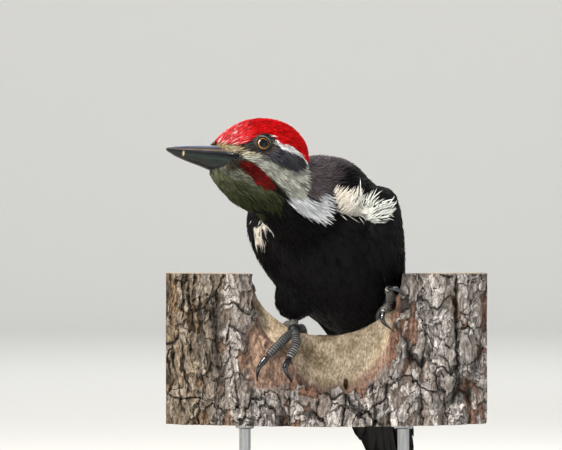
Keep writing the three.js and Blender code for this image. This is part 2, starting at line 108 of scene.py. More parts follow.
camera = bpy.data.objects.new("camera", bpy.data.cameras.new("camera"))
camera.location = (-0.0338, -2.635, 0.273)
camera.rotation_euler = (math.radians(90), 0, 0)
camera.data.lens = 214.85
camera.data.sensor_width = 36
camera.data.clip_start = 0.05
camera.data.clip_end = 50
scene.collection.objects.link(camera)
scene.camera = camera

sheet_paper, tree, shader = new_material("matt_background_paper")
shader.inputs["Base Color"].default_value = linear("#efeeea")
shader.inputs["Roughness"].default_value = 0.95
shader.inputs["Specular IOR Level"].default_value = 0.1
bm = bmesh.new()
sweep = [math.radians(a) for a in range(0, 91, 9)]
bend = [(6 + 1.5 * math.sin(a), 1.5 - 1.5 * math.cos(a)) for a in sweep]
profile = [(0, 0), (2, 0), (4, 0)] + bend + [(7.5, 3.4)]
verts = [bm.verts.new((r, 0, z)) for r, z in profile]
edges = [bm.edges.new(pair) for pair in zip(verts, verts[1:])]
bmesh.ops.spin(
    bm, geom=verts + edges, cent=(0, 0, 0), axis=(0, 0, 1), angle=math.tau, steps=64, use_merge=True
)
bmesh.ops.remove_doubles(bm, verts=bm.verts, dist=1e-4)
bmesh.ops.recalc_face_normals(bm, faces=bm.faces)
mesh = mesh_of("backdrop", bm)
mesh.shade_smooth()
backdrop = put("backdrop", mesh, sheet_paper)


def lamp(name, place, aim, size, power, colour):
    data = bpy.data.lights.new(name, "AREA")
    data.shape = "DISK"
    data.size = size
    data.energy = power
    data.color = linear(colour)[:3]
    made = bpy.data.objects.new(name, data)
    made.location = place
    made.rotation_euler = (Vector(aim) - Vector(place)).to_track_quat("-Z", "Y").to_euler()
    scene.collection.objects.link(made)


lamp("key", (-0.72, -0.95, 2.1), (0, 0, 0.24), 0.28, 78, "#fff8ec")
lamp("catch", (-1.0, -1.1, 1.05), (0, 0, 0.3), 0.3, 15, "#ffffff")
lamp("sky", (-0.95, -1.35, 1.9), (0, 0, 0.24), 1.1, 5, "#dde8ff")
lamp("fill", (1.3, -1.5, 0.7), (0, 0, 0.2), 1.4, 6, "#e8f0ff")
lamp("rim", (0.6, 1.0, 1.3), (0, 0, 0.25), 0.7, 9, "#ffffff")
lamp("wall", (0, 2.5, 3.0), (0, 7.5, 0.8), 2.0, 60, "#ffffff")
world = bpy.data.worlds.new("studio")
world.use_nodes = True
scene.world = world
world.node_tree.nodes["Background"].inputs[0].default_value = linear("#eef1f5")
world.node_tree.nodes["Background"].inputs[1].default_value = 0.5
scene.view_settings.view_transform = "Standard"

# ------------------------------------------------------------------ stand base
# A slab of hardwood, 250 by 240 by 18 mm, with round corners and a moulded upper edge. It is stained
# dark and varnished, and the two rods are driven into it.

varnished, tree, shader = new_material("dark_varnished_hardwood")
# Satin varnish over open grain: long dark pores about 1 mm apart, and broad bands of 9 mm.
place = add(tree, "ShaderNodeTexCoord").outputs["Object"]
along = add(tree, "ShaderNodeMapping", {0: place, "Scale": (0.06, 1, 1)}).outputs[0]
pores = add(tree, "ShaderNodeTexNoise", {"Vector": along, "Scale": 1000 / 1.0, "Detail": 4}).outputs[0]
bands = add(
    tree, "ShaderNodeTexNoise", {"Vector": along, "Scale": 1000 / 9.0, "Detail": 3, "Distortion": 1.2}
).outputs[0]
both = add(tree, "ShaderNodeMath", {0: pores, 1: bands}, operation="MULTIPLY").outputs[0]
colour = ramp(tree, both, [(0.12, "#1c100a"), (0.25, "#3a2317"), (0.42, "#553522")])
tree.links.new(colour, shader.inputs["Base Color"])
shader.inputs["Roughness"].default_value = 0.32
shader.inputs["Coat Weight"].default_value = 0.4
shader.inputs["Coat Roughness"].default_value = 0.18
bump = add(tree, "ShaderNodeBump", {"Height": pores, "Strength": 0.12, "Distance": 0.0003})
tree.links.new(bump.outputs[0], shader.inputs["Normal"])

low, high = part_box("stand_base")
bm = bmesh.new()
bmesh.ops.create_cube(bm, size=1)
bmesh.ops.scale(bm, vec=high - low, verts=bm.verts)
bmesh.ops.translate(bm, vec=(low + high) / 2, verts=bm.verts)
upright = [e for e in bm.edges if abs(e.verts[0].co.z - e.verts[1].co.z) > 0.01]
bmesh.ops.bevel(bm, geom=upright, offset=0.022, segments=12, profile=0.5, affect="EDGES", material=-1)
rim = [e for e in bm.edges if all(v.co.z > high.z - 1e-5 for v in e.verts)]
bmesh.ops.bevel(bm, geom=rim, offset=0.006, segments=6, profile=0.35, affect="EDGES", material=-1)
foot = [e for e in bm.edges if all(v.co.z < low.z + 1e-5 for v in e.verts)]
bmesh.ops.bevel(bm, geom=foot, offset=0.0012, segments=2, profile=0.5, affect="EDGES", material=-1)
mesh = mesh_of("base_slab", bm)
mesh.shade_smooth()
base_slab = put("base_slab", mesh, varnished)
tidy = base_slab.modifiers.new("edges", "WEIGHTED_NORMAL")
tidy.keep_sharp = True
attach(base_slab, "root")
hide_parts("stand_base")

# ------------------------------------------------------------------ stand rods
# Two 9 mm steel rods, brushed along their length, each with a small collar where it enters the base
# and the wood of the perch. They are turned from bar.

steel, tree, shader = new_material("brushed_steel")
# Brush lines run along the rod, drawn 0.3 mm apart.
place = add(tree, "ShaderNodeTexCoord").outputs["Object"]
along = add(tree, "ShaderNodeMapping", {0: place, "Scale": (1, 1, 0.02)}).outputs[0]
lines = add(tree, "ShaderNodeTexNoise", {"Vector": along, "Scale": 1000 / 0.3, "Detail": 3}).outputs[0]
tree.links.new(ramp(tree, lines, [(0.3, "#85888c"), (0.7, "#b4b6b9")]), shader.inputs["Base Color"])
shader.inputs["Metallic"].default_value = 1.0
shader.inputs["Roughness"].default_value = 0.34
bump = add(tree, "ShaderNodeBump", {"Height": lines, "Strength": 0.15, "Distance": 0.0002})
tree.links.new(bump.outputs[0], shader.inputs["Normal"])

for side in ("left", "right"):
    low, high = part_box(f"stand_rod_{side}")
    x, y = (low.x + high.x) / 2, (low.y + high.y) / 2
    profile = [(0, 0), (7.4, 0), (7.4, 2.2), (6.6, 3.0), (4.5, 3.0)]
    tall = (high.z - low.z) * 1000
    profile += [(4.5, tall - 3.0), (6.6, tall - 3.0), (7.4, tall - 2.2), (7.4, tall), (0, tall)]
    bm = bmesh.new()
    verts = [bm.verts.new((x + r / 1000, y, low.z + z / 1000)) for r, z in profile]
    edges = [bm.edges.new(pair) for pair in zip(verts, verts[1:])]
    bmesh.ops.spin(
        bm, geom=verts + edges, cent=(x, y, 0), axis=(0, 0, 1), angle=math.tau, steps=40, use_merge=True
    )
    bmesh.ops.remove_doubles(bm, verts=bm.verts, dist=1e-6)
    bmesh.ops.recalc_face_normals(bm, faces=bm.faces)
    mesh = mesh_of(f"rod_{side}", bm)
    rod = put(f"rod_{side}", mesh, steel)
    mesh.shade_smooth()
    mesh.set_sharp_from_angle(angle=math.radians(30))
    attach(rod, "root")
    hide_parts(f"stand_rod_{side}")

# ------------------------------------------------------------------ perch
# A piece of a living tree's wall: grey bark in flaking layers outside, reddish inner bark, then pale
# wood. Its edges are sawn. The birds have chopped the bevelled hole, and the back is rotted hollow.

TREE_AXIS_Y = 195.0
TREE_RADIUS = 230.0
# Each layer of bark flakes: width, height and thickness in mm, how many of them are still on, colour.
FLAKES = [
    (25, 46, 2.2, 0.82, "#9f9a97"),
    (12, 25, 1.8, 0.66, "#afaeae"),
    (6.5, 12, 1.2, 0.50, "#c6c7ca"),
]


def smooth(low, high, value):
    t = min(1.0, max(0.0, (value - low) / (high - low)))
    return t * t * (3 - 2 * t)


def bark_at(x, z):
    """How far the bark stands out from the tree's round at a place, in mm, and its linear colour, with
    painted shade near black in its cracks and along the edges of its flakes.
    """
    n, own = noise.noise, lambda p, k: 0.5 + 0.5 * noise.cell((p.x * 31.7, 5.5 + k, p.z * 17.3))
    strips = smooth(-60, -105, x)
    bare = math.exp(-(((x + 40) / 21) ** 6) - ((z - 172) / 26) ** 6)
    near = math.exp(-((math.hypot((x - 1) / 62, (z - 215) / 72) - 1) / 0.16) ** 2)
    u = x + 0.08 * (z - 170) + 8 * n((x / 50, 3.1, z / 90))
    u = u + 3 * n((x / 9, 0.7, z / 22)) + 1.8 * n((x / 2.6, 0.3, z / 5))
    v = z + 9 * n((x / 13, 7.7, z / 30)) + 3 * n((x / 4, 1.7, z / 7))
    far, sites = noise.voronoi((u / 28, 0.0, v / (130 + 140 * strips)))
    edge, tone = far[1] - far[0], own(sites[0], 9)
    deep = 0.45 + 0.55 * smooth(-0.25, 0.2, n((x / 16, 6.6, z / 44)))
    ridge = 1 - deep * (1 - smooth(0.02, 0.17, edge))
    height = 5.0 * ridge + 1.6 * tone
    colour = Vector(linear("#927a6d")[:3]).lerp(Vector(linear("#88695a")[:3]), max(near, 0.25 * tone))
    # Painted shade: the deep fissures are coloured almost black where they sink in.
    crack_shade = deep * (1 - smooth(0.0, 0.08, edge))
    for k, (wide, tall, thick, share, code) in enumerate(FLAKES):
        far, sites = noise.voronoi((u / wide + 9 * k, 4.4 * k, v / tall), distance_metric="CHEBYCHEV")
        mine = own(sites[0], k)
        if mine > share * (1 - 0.55 * near) * (1 - bare) * (1 - 0.35 * strips):
            continue
        edge = far[1] - far[0]
        height += thick * smooth(0.01, 0.06, edge) + 1.3 * thick * (sites[0].z - v / tall)
        light = 0.6 + 0.75 * (mine / share)
        colour = colour.lerp(Vector(linear(code)[:3]) * light, 0.9)
        # Painted contact shadow: each flake's edge is coloured almost black.
        crack_shade = max(crack_shade, 0.85 * (1 - smooth(0.0, 0.045, edge)))
    fibre = n((u / 1.6, 9.1, z / 12))
    split = strips * smooth(0.08, 0.3, -n((u / 3.4, 2.2, z / 30)))
    # The gaps between the fibre strips on the left are painted dark as shade too.
    crack_shade = max(crack_shade, 0.85 * split)
    lumps = 0.9 * n((x / 1.9, 4.4, z / 3)) + 1.2 * n((x / 5, 2.2, z / 8))
    height += (0.6 + 0.9 * strips) * fibre - 2.2 * split + lumps
    height = max(0.4, min(10.5, height * (1 - 0.7 * bare)))
    colour = colour.lerp(Vector(linear("#84755a")[:3]) * (1 + 0.9 * fibre), 0.65 * strips)
    colour = colour.lerp(Vector(linear("#aa9283")[:3]) * (1 + 0.5 * fibre), 0.9 * bare)
    return height, colour.lerp(Vector(linear("#1f1813")[:3]), min(1, crack_shade * (1 - bare)))


low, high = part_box("perch")
LEFT, RIGHT, BOTTOM, TOP = low.x * 1000, high.x * 1000, low.z * 1000, high.z * 1000
COLUMNS, ROWS = (430, 200)
bm = bmesh.new()
bmesh.ops.create_grid(bm, x_segments=COLUMNS, y_segments=ROWS, size=0.5)
bark_colour_and_shade = np.zeros((COLUMNS + 1, ROWS + 1, 4), np.float32)
for v in bm.verts:
    i, j = (round((v.co.x + 0.5) * COLUMNS), round((v.co.y + 0.5) * ROWS))
    x, z = LEFT + (RIGHT - LEFT) * i / COLUMNS, BOTTOM + (TOP - BOTTOM) * j / ROWS
    stands, colour = bark_at(x, z)
    bark_colour_and_shade[i, j] = (*colour, 1)
    v.co = (x / 1000, (TREE_AXIS_Y - math.sqrt(TREE_RADIUS**2 - x * x) - stands) / 1000, z / 1000)
border = [e for e in bm.edges if e.is_boundary]
made = bmesh.ops.extrude_edge_only(bm, edges=border)["geom"]
for v in (g for g in made if isinstance(g, bmesh.types.BMVert)):
    v.co.y = 0.075
bmesh.ops.holes_fill(bm, edges=[e for e in bm.edges if e.is_boundary], sides=0)
bmesh.ops.recalc_face_normals(bm, faces=bm.faces)
mesh = mesh_of("tree_wall", bm)
tree_wall = put("tree_wall", mesh)


def wrapped(along, around, place, closed=True):
    """A tube through place(u, v) in mm: u runs along it from 0 to 1, and v round it."""
    bm = bmesh.new()
    bmesh.ops.create_grid(bm, x_segments=along, y_segments=around, size=0.5)
    for v in bm.verts:
        v.co = Vector(place(v.co.x + 0.5, v.co.y + 0.5)) / 1000
    bmesh.ops.remove_doubles(bm, verts=bm.verts, dist=1e-6)
    if closed:
        bmesh.ops.holes_fill(bm, edges=[e for e in bm.edges if e.is_boundary], sides=0)
    bmesh.ops.recalc_face_normals(bm, faces=bm.faces)
    return bm


def cutter(name, bm):
    return put(name, mesh_of(name, bm))


def cut(target, tool):
    step = target.modifiers.new("cut", "BOOLEAN")
    step.operation = "DIFFERENCE"
    step.object = tool
    step.solver = "MANIFOLD"
    bpy.context.view_layer.objects.active = target
    bpy.ops.object.modifier_apply(modifier=step.name)
    bpy.data.objects.remove(tool)


def hollow(u, v):
    """The rotted-out core: round the tree's axis, rough in long vertical flutes."""
    z = 90 + 180 * u
    turn = math.tau * v
    c, s = math.cos(turn), math.sin(turn)
    radius = 194 + 1.6 * noise.noise((c * 14, s * 14, z / 40)) + 0.7 * noise.noise((c * 50, s * 50, z / 12))
    return (radius * c, TREE_AXIS_Y + radius * s, z)


cut(tree_wall, cutter("hollow", wrapped(60, 420, hollow)))


def scoop(u, v):
    """The nest's inner hollow, behind the rim of the hole."""
    turn, tip = math.tau * v, math.pi * u
    p = Vector((math.sin(tip) * math.cos(turn), math.sin(tip) * math.sin(turn), math.cos(tip)))
    rough = 1 + 0.012 * noise.noise(p * 9)
    return (10 + 104 * p.x * rough, 52.5 + 62 * p.y * rough, 278 + 96 * p.z * rough)


cut(tree_wall, cutter("scoop", wrapped(90, 120, scoop)))

# The hole's outline at the bark, in x and z, and the oval edge that it narrows to 24 mm in.
HOLE_EDGE = [(-57, 300), (-57, 219), (-53, 197), (-44, 175), (-24, 166), (-21.5, 149), (-7.6, 147)]
HOLE_EDGE += [(9.3, 142), (31.6, 146), (48, 158.5), (53, 180.7), (54.7, 209.5), (60, 226), (60.5, 300)]
steps = np.linspace(0, 13, 521)
HOLE_LINE = [np.interp(steps, range(14), [p[k] for p in HOLE_EDGE]) for k in (0, 1)]
HOLE_LINE = [np.convolve(np.pad(line, 14, "edge"), np.ones(29) / 29, "valid") for line in HOLE_LINE]


def hole(u, v):
    """Wide at the bark and narrower 24 mm in, chopped in short vertical pecks. v > 0.96 closes it."""
    y = -75 + 130 * u
    step = 13 * (v / 0.96 if v < 0.96 else (1 - v) / 0.04)
    edge = Vector((np.interp(step, steps, HOLE_LINE[0]), 0, np.interp(step, steps, HOLE_LINE[1])))
    turn = math.pi * (1 + min(1, max(0, (step - 1) / 11)))
    flare = max(0, y + 7) / 62
    oval = Vector((2 + 6 * flare + (60 + 8 * flare) * math.cos(turn), 0, 236 + 50 * math.sin(turn)))
    oval.z += 64 * max(1 - step, step - 12, 0)
    x, _, z = edge.lerp(oval, min(1, max(0, (y + 32) / 21)))
    if v > 0.96:
        z = 300
    away = Vector((x - 2, 0, z - 225)).normalized()
    rough = 0.9 * noise.noise((x / 11, y / 9, z / 13)) + 0.45 * noise.noise((x / 2.4, y / 4, z / 6))
    ragged = 8 * noise.noise((x / 9, 3.3, z / 9)) + 4 * noise.noise((x / 3.4, 8.3, z / 3.4))
    out = (rough + ragged * smooth(-25, -34, y)) * smooth(296, 280, z)
    return (x + away.x * out, y, z + away.z * out)


cut(tree_wall, cutter("hole", wrapped(130, 320, hole)))


def borehole(u, v):
    """A beetle's hole near the foot of the bevel."""
    turn, tip = math.tau * v, math.pi * u
    x, y = 16.6 + 2.1 * math.sin(tip) * math.cos(turn), -28 + 6 * math.sin(tip) * math.sin(turn)
    return (x, y, 149 + 5 * math.cos(tip))


cut(tree_wall, cutter("borehole", wrapped(16, 20, borehole)))

wood, tree, shader = new_material("tree_bark_and_wood")
# Dry bark is matt and grey on its outer flakes and brown where they have come off. Its cracks and the edges
# of its flakes are painted almost black: painted shade in the fissures and painted contact shadows under
# the flake edges. Under it lie reddish inner bark and pale chopped wood, in layers by their real depths.
place = add(tree, "ShaderNodeTexCoord").outputs["Object"]
centred = add(tree, "ShaderNodeVectorMath", {0: place, 1: (0, -TREE_AXIS_Y / 1000, 0)}).outputs[0]
flat = add(tree, "ShaderNodeVectorMath", {0: centred, 1: (1, 1, 0)}, operation="MULTIPLY").outputs[0]
radius = add(tree, "ShaderNodeVectorMath", {0: flat}, operation="LENGTH").outputs["Value"]
stretched = add(tree, "ShaderNodeMapping", {0: place, "Scale": (1, 1, 0.4)}).outputs[0]
fibrous = add(tree, "ShaderNodeMapping", {0: place, "Scale": (1, 1, 0.09)}).outputs[0]
blotch = add(
    tree, "ShaderNodeTexNoise", {"Vector": place, "Scale": 1000 / 14, "Detail": 5, "Roughness": 0.6}
).outputs[0]
grit = add(
    tree, "ShaderNodeTexNoise", {"Vector": stretched, "Scale": 1000 / 2.2, "Detail": 5, "Roughness": 0.75}
).outputs[0]
fibre = add(tree, "ShaderNodeTexNoise", {"Vector": fibrous, "Scale": 1000 / 1.3, "Detail": 4}).outputs[0]
wander = add(tree, "ShaderNodeMath", {0: blotch, 1: 0.005, 2: -0.0025}, operation="MULTIPLY_ADD").outputs[0]
layered = add(tree, "ShaderNodeMath", {0: radius, 1: wander}).outputs[0]
flakes = add(tree, "ShaderNodeAttribute", attribute_name="bark").outputs["Color"]

speck = ramp(tree, grit, [(0.34, "#40372f"), (0.47, "#a8a19b"), (0.62, "#ffffff")])
bark = add(
    tree, "ShaderNodeMix", {0: 0.85, 6: flakes, 7: speck}, data_type="RGBA", blend_type="MULTIPLY"
).outputs[2]
bark = add(
    tree, "ShaderNodeMix", {0: 1.0, 6: bark, 7: linear("#f2ece6")}, data_type="RGBA", blend_type="MULTIPLY"
).outputs[2]
inner_bark = ramp(tree, fibre, [(0.35, "#624d40"), (0.6, "#8f7465"), (0.75, "#bfa796")])
pale = ramp(tree, fibre, [(0.28, "#7d6c56"), (0.45, "#a39178"), (0.58, "#bbaa91"), (0.72, "#d7cbb8")])
stain = ramp(tree, blotch, [(0.36, "#8f836a"), (0.56, "#ffffff")])
pale = add(
    tree, "ShaderNodeMix", {0: 0.75, 6: pale, 7: stain}, data_type="RGBA", blend_type="MULTIPLY"
).outputs[2]
rotten = ramp(tree, fibre, [(0.3, "#3b2a1c"), (0.7, "#7c6044")])


def layer(outer, inner, border, soft=0.0008):
    """outer beyond a radius in metres, and inner within it."""
    fac = add(tree, "ShaderNodeMapRange", {0: layered, 1: border - soft, 2: border + soft}).outputs[0]
    return add(tree, "ShaderNodeMix", {0: fac, 6: inner, 7: outer}, data_type="RGBA").outputs[2]


wooden = layer(pale, rotten, 0.1965, 0.0012)
under = layer(inner_bark, wooden, 0.2245)
tree.links.new(layer(bark, under, 0.2285, 0.001), shader.inputs["Base Color"])
shader.inputs["Roughness"].default_value = 0.9
shader.inputs["Specular IOR Level"].default_value = 0.25
rough = add(tree, "ShaderNodeMath", {0: grit, 1: fibre}).outputs[0]
bump = add(tree, "ShaderNodeBump", {"Height": rough, "Strength": 0.7, "Distance": 0.0006})
tree.links.new(bump.outputs[0], shader.inputs["Normal"])



def read(items, key, width, kind=float):
    """One attribute of every item, as rows."""
    found = np.empty(len(items) * width, kind)
    items.foreach_get(key, found)
    return found.reshape(-1, width)


mesh = tree_wall.data
mesh.materials.clear()
mesh.materials.append(wood)
co = read(mesh.vertices, "co", 3, np.float32) * 1000
i = np.clip(np.rint((co[:, 0] - LEFT) / (RIGHT - LEFT) * COLUMNS).astype(int), 0, COLUMNS)
j = np.clip(np.rint((co[:, 2] - BOTTOM) / (TOP - BOTTOM) * ROWS).astype(int), 0, ROWS)
mesh.attributes.new("bark", "FLOAT_COLOR", "POINT").data.foreach_set("color", bark_colour_and_shade[i, j].ravel())
mesh.polygons.foreach_set("use_smooth", np.zeros(len(mesh.polygons), bool))
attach(tree_wall, "root")
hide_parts("perch")

# ------------------------------------------------------------------ skin
# One closed skin carries all the feathers: head, neck, trunk, thighs and wing arms in one piece, thinner
# than the finished bird by the depth of its feathers. It is cast in soft resin and painted.


def posed(yaw, pitch, roll, at):
    """The axes of a frame (x forward, y to the bird's left, z up) as columns, and its origin in mm."""
    yaw, pitch, roll = (math.radians(a) for a in (yaw, pitch, roll))
    flat = np.array([-math.sin(yaw), -math.cos(yaw), 0])
    side = np.array([math.cos(yaw), -math.sin(yaw), 0])
    lean = np.array([0, 0, 1.0])
    forward = flat * math.cos(pitch) + lean * math.sin(pitch)
    rise = lean * math.cos(pitch) - flat * math.sin(pitch)
    left = side * math.cos(roll) + rise * math.sin(roll)
    up = rise * math.cos(roll) - side * math.sin(roll)
    return np.array([forward, left, up]).T, np.array(at, float)


BODY = posed(25, 48, 7, (8, 3, 251))
HEAD = posed(60, 8, 10, (-57, -93, 332))


def out_of(pose, points):
    """Points of a frame, in the model's own place, in mm."""
    return np.asarray(points, float) @ pose[0].T + pose[1]


def into(pose, points):
    return (np.asarray(points, float) - pose[1]) @ pose[0]


def unit(vectors):
    return vectors / np.maximum(np.linalg.norm(vectors, axis=-1, keepdims=True), 1e-9)


# The line that the neck follows, from the trunk (0) to the head (1), with its back and its left side.
ends = [
    out_of(BODY, (28, 0, 2)), out_of(BODY, (82, -4, -10)), out_of(HEAD, (-34, -6, -44)),
    out_of(HEAD, (-12, 0, -8))
]
NECK_T = np.linspace(-0.2, 1.05, 126)
t = NECK_T[:, None]
NECK = (1 - t) ** 3 * ends[0] + 3 * t * (1 - t) ** 2 * ends[1]
NECK = NECK + 3 * t * t * (1 - t) * ends[2] + t**3 * ends[3]
NECK_ALONG = unit(np.gradient(NECK, axis=0))
rise = BODY[0][:, 2] * (1 - t) + HEAD[0][:, 2] * t
NECK_BACK = unit(rise - NECK_ALONG * (rise * NECK_ALONG).sum(1, keepdims=True))
NECK_LEFT = -np.cross(NECK_ALONG, NECK_BACK)


def round_neck(points):
    """For each point: how far up the neck it is, its turn from the back towards the left, its distance."""
    gap = np.linalg.norm(points[:, None, :] - NECK[None], axis=2)
    near = gap.argmin(1)
    away = points - NECK[near]
    turn = np.degrees(np.arctan2((away * NECK_LEFT[near]).sum(1), (away * NECK_BACK[near]).sum(1)))
    return NECK_T[near], turn, gap.min(1)


def within(points, outline):
    """Whether each 2-D point lies inside a closed outline."""
    x, y = points[:, 0], points[:, 1]
    found = np.zeros(len(points), bool)
    for (x0, y0), (x1, y1) in zip(outline, outline[1:] + outline[:1]):
        crosses = (y0 > y) != (y1 > y)
        where = (x1 - x0) * (y - y0) / ((y1 - y0) or 1e-9) + x0
        found ^= crosses & (x < where)
    return found


# Where the head's colours meet, in the head's x and z, in mm.
CROWN_EDGE = [
    (-50, 0), (-46, -2.8), (-41, -5.2), (-33, -1.6), (-28, 0.5), (-22.8, 2.3), (-16.7, 2.8), (-10.8, 2),
    (-8.3, 4.5), (-6, 7.7), (-1, 8.4), (3.8, 6.4), (8.4, 2.8), (13, -1.4), (17, -3.5), (22.7, -4.4),
    (29, -4), (34, -2.5)
]
EAR = [
    (-0.7, -10.7), (-4.1, -6.6), (-8.7, -2), (-12.3, -2.2), (-17.5, -2.4), (-25.9, -2.6), (-34.4, -4.2),
    (-43, -6.6), (-38.8, -11.2), (-30, -15.3), (-22.3, -15.7), (-15.2, -14.2), (-7.5, -13.4), (-2, -12)
]
LORES = [
    (17, -4.2), (12, -1), (7.9, 3.4), (2.7, 6.8), (-2.5, 8.4), (-6.9, 7), (-9, 2.4), (-8.1, -2.3),
    (-5.3, -6.8), (-0.6, -10), (3.3, -9.8), (6.2, -8.6), (9.3, -8), (14, -7.4)
]
STRIPE = [
    (23.3, -6.5), (15.6, -9.5), (7.5, -10.5), (0.8, -12.5), (-7.5, -14.2), (-18, -16.3), (-30, -15.6),
    (-39.7, -11.7), (-42.2, -7.7), (-44, -10), (-41, -22), (-38, -36), (-25, -36), (-18.7, -30.9),
    (-12.6, -28.4), (-3.9, -23.4), (4.3, -18.2), (11, -15.1), (17.5, -11.8), (24, -9.5)
]
BROW = [
    (4, 7.8), (-1.5, 9.8), (-7.4, 8.6), (-9.6, 3.2), (-15.3, 3.1), (-22.7, 2.6), (-28.4, 1), (-34.6, -1.4),
    (-41.4, -5), (-43, -7.7), (-35.2, -4.3), (-26.6, -2.6), (-18.8, -2.6), (-12.5, -2.3), (-9.4, -0.4),
    (-7.4, 5.4), (-2, 8)
]
MALAR = [
    (18.7, -16.2), (14, -15.2), (7.8, -16.6), (1.6, -19.9), (-5.3, -25.3), (-9.9, -31.5), (-7.6, -33.4),
    (-2.1, -33.8), (3.7, -32), (7.4, -28.6), (12.1, -25), (16.1, -21.2)
]
CHEEK_BLACK = [
    (-7.7, -27), (-18.2, -33.2), (-25.1, -37.4), (-29.1, -42.9), (-30, -50), (-22.3, -46), (-18.4, -38.7),
    (-13, -34.4), (-8, -33.6)
]
GAPE = [(27, -12.6), (17.2, -12), (13.5, -14.9), (16.1, -21.2), (22, -22.6), (26, -22), (28, -16)]
CHIN_STREAK = [
    (29.4, -22), (22.5, -22.8), (17, -22.8), (12, -25.3), (7, -29.3), (3, -33), (8, -33), (14, -30),
    (20, -28.4), (27, -25.6)
]
TAN = [
    (33.5, -4.5), (25.5, -4.2), (18.5, -4.2), (15.6, -6.4), (15.6, -9.8), (17, -11.4), (20.1, -10.9),
    (24.8, -9.3), (29.6, -8.2)
]
BELOW_EYE = [(6.5, -8.6), (4, -12.6), (-4, -14.6), (-9, -12), (-5.3, -6.8)]
BELOW_LORES = [(15, -7.2), (17, -11.5), (8, -12), (4, -10.6), (9, -8.4)]
# Where the bill reaches back into the face, bare of feathers.
BILL_WEDGE = [
    (36, -4), (29.6, -8), (24.8, -9), (20, -10.7), (16, -11.6), (16.6, -13.4), (20, -14.4), (24.6, -15.3),
    (26, -20), (30, -22.3), (36, -24)
]
# The white of the neck's side: how far up the neck, then the turns of its rear and front edges.
NECK_WHITE = [
    (0.39, 122, 128), (0.41, 114, 133), (0.45, 99, 137), (0.5, 90, 138), (0.55, 94, 139), (0.6, 108, 140),
    (0.68, 112, 141), (0.75, 108, 142), (0.8, 98, 141), (0.9, 88, 140)
]

# The white at the bend of the left wing runs between two lines over its length (x, z), in mm.
SHOULDER_TOP = [(8, 297), (24, 291.5), (29, 288), (40, 287), (47, 285), (50, 283)]
SHOULDER_FOOT = [
    (5, 288), (9.6, 282.5), (19, 280.5), (26.5, 280), (33, 276), (38, 274), (44, 279), (50, 287)
]


# The line over the eye is lifted past plain white, because its strands shade each other.
BROW_LIFT = 1.15


def on_shoulder(points):
    top, foot = (np.interp(points[:, 0], *zip(*line)) for line in (SHOULDER_TOP, SHOULDER_FOOT))
    tall = (points[:, 2] < top) & (points[:, 2] > foot) & (points[:, 0] > 5)
    b = into(BODY, points)
    return tall & (b[:, 0] > 42) & (b[:, 1] > 22)


def on_right_lining(points):
    tall = (points[:, 2] > 262) & (points[:, 2] < 281)
    b = into(BODY, points)
    front = (points[:, 1] > -45) & (points[:, 1] < -8)
    return (points[:, 0] > -54) & (points[:, 0] < -47) & tall & front & (b[:, 0] > 24) & (b[:, 1] < -30)


def markings_and_painted_light(points):
    """The plumage's colour (linear) at each point of the bird, in mm, with a painted sheen on the back and
    painted shade on the chin and throat, and how red it is.
    """
    h, b = into(HEAD, points), into(BODY, points)
    hx, hz = h[:, 0], h[:, 2]
    side = h[:, [0, 2]]
    colour = np.tile(linear("#0d0c0e")[:3], (len(points), 1))

    def paint(where, code, share=1.0):
        colour[where] = colour[where] * (1 - share) + np.array(linear(code)[:3]) * share

    up, turn, gap = round_neck(points)
    # The back and the hind neck are painted dark grey-brown over the black: a painted sheen where the light
    # from above falls on the black feathers.
    back = (b[:, 2] > 2) | ((up > 0.05) & (up < 0.95) & (np.abs(turn) < 108))
    back_sheen = np.clip((48 - points[:, 0]) / 30, 0, 1) * np.clip((30 - np.abs(b[:, 1])) / 12, 0, 1)
    back_sheen = np.maximum(back_sheen, np.clip((up - 0.35) / 0.15, 0, 1) * (gap < 34))
    colour += (np.array(linear("#655d60")[:3]) - colour) * (back * back_sheen)[:, None]
    on_head = (hx > -50) & (np.linalg.norm(h - (-8, 0, -6), axis=1) < 62)
    rear, front = (np.interp(up, [r[0] for r in NECK_WHITE], [r[k] for r in NECK_WHITE]) for k in (1, 2))
    lateral = np.abs(turn)
    paint((up > 0.39) & (up < 0.9) & (lateral > rear) & (lateral < front) & (gap < 40), "#e9ecf1")
    # The white chin and throat are painted in shade: olive grey, a painted shade with a painted green
    # reflection in it, darker towards the bottom under the head.
    throat = on_head & (hz < -13) & (hz > -46.5) & (hx > -26 - 0.6 * (hz + 44)) & (hx > -24)
    paint(throat, "#676a52")
    low = throat & (hz < -20)
    under = np.clip((-20 - hz[low]) / 22, 0, 1)[:, None]
    colour[low] = colour[low] * (1 - under) + np.array(linear("#313520")[:3]) * under
    paint(on_head & within(side, STRIPE), "#b8bab0")
    paint(on_head & within(side, BELOW_EYE), "#6d6e68")
    paint(on_head & within(side, BELOW_LORES), "#b5b29b")
    paint(on_head & within(side, EAR), "#4c4b53")
    paint(on_head & within(side, LORES), "#45403c")
    paint(on_head & within(side, BROW), "#ffffff", BROW_LIFT)
    outer = on_head & (np.abs(h[:, 1]) > 6)
    paint(outer & within(side, CHEEK_BLACK), "#19171a")
    paint(outer & within(side, GAPE), "#403a33")
    # The chin streak is white painted grey, as painted shade under the head, paler than the throat below
    # it.
    paint(outer & within(side, CHIN_STREAK), "#6e7064")
    paint(outer & within(side, MALAR), "#661210")
    paint(on_head & within(side, TAN), "#8f7f60")
    paint(on_head & within(side, BILL_WEDGE), "#23262b")
    edge = np.interp(hx, [p[0] for p in CROWN_EDGE], [p[1] for p in CROWN_EDGE])
    crown = (hx > -46) & (hx < 37) & (hz > edge) & (np.abs(h[:, 1]) < 24) & (hz < 40)
    paint(crown, "#c70b10")
    paint(on_shoulder(points) | on_right_lining(points), "#e6e0d6")
    return colour, crown


feather, tree, shader = new_material("barbed_feather")
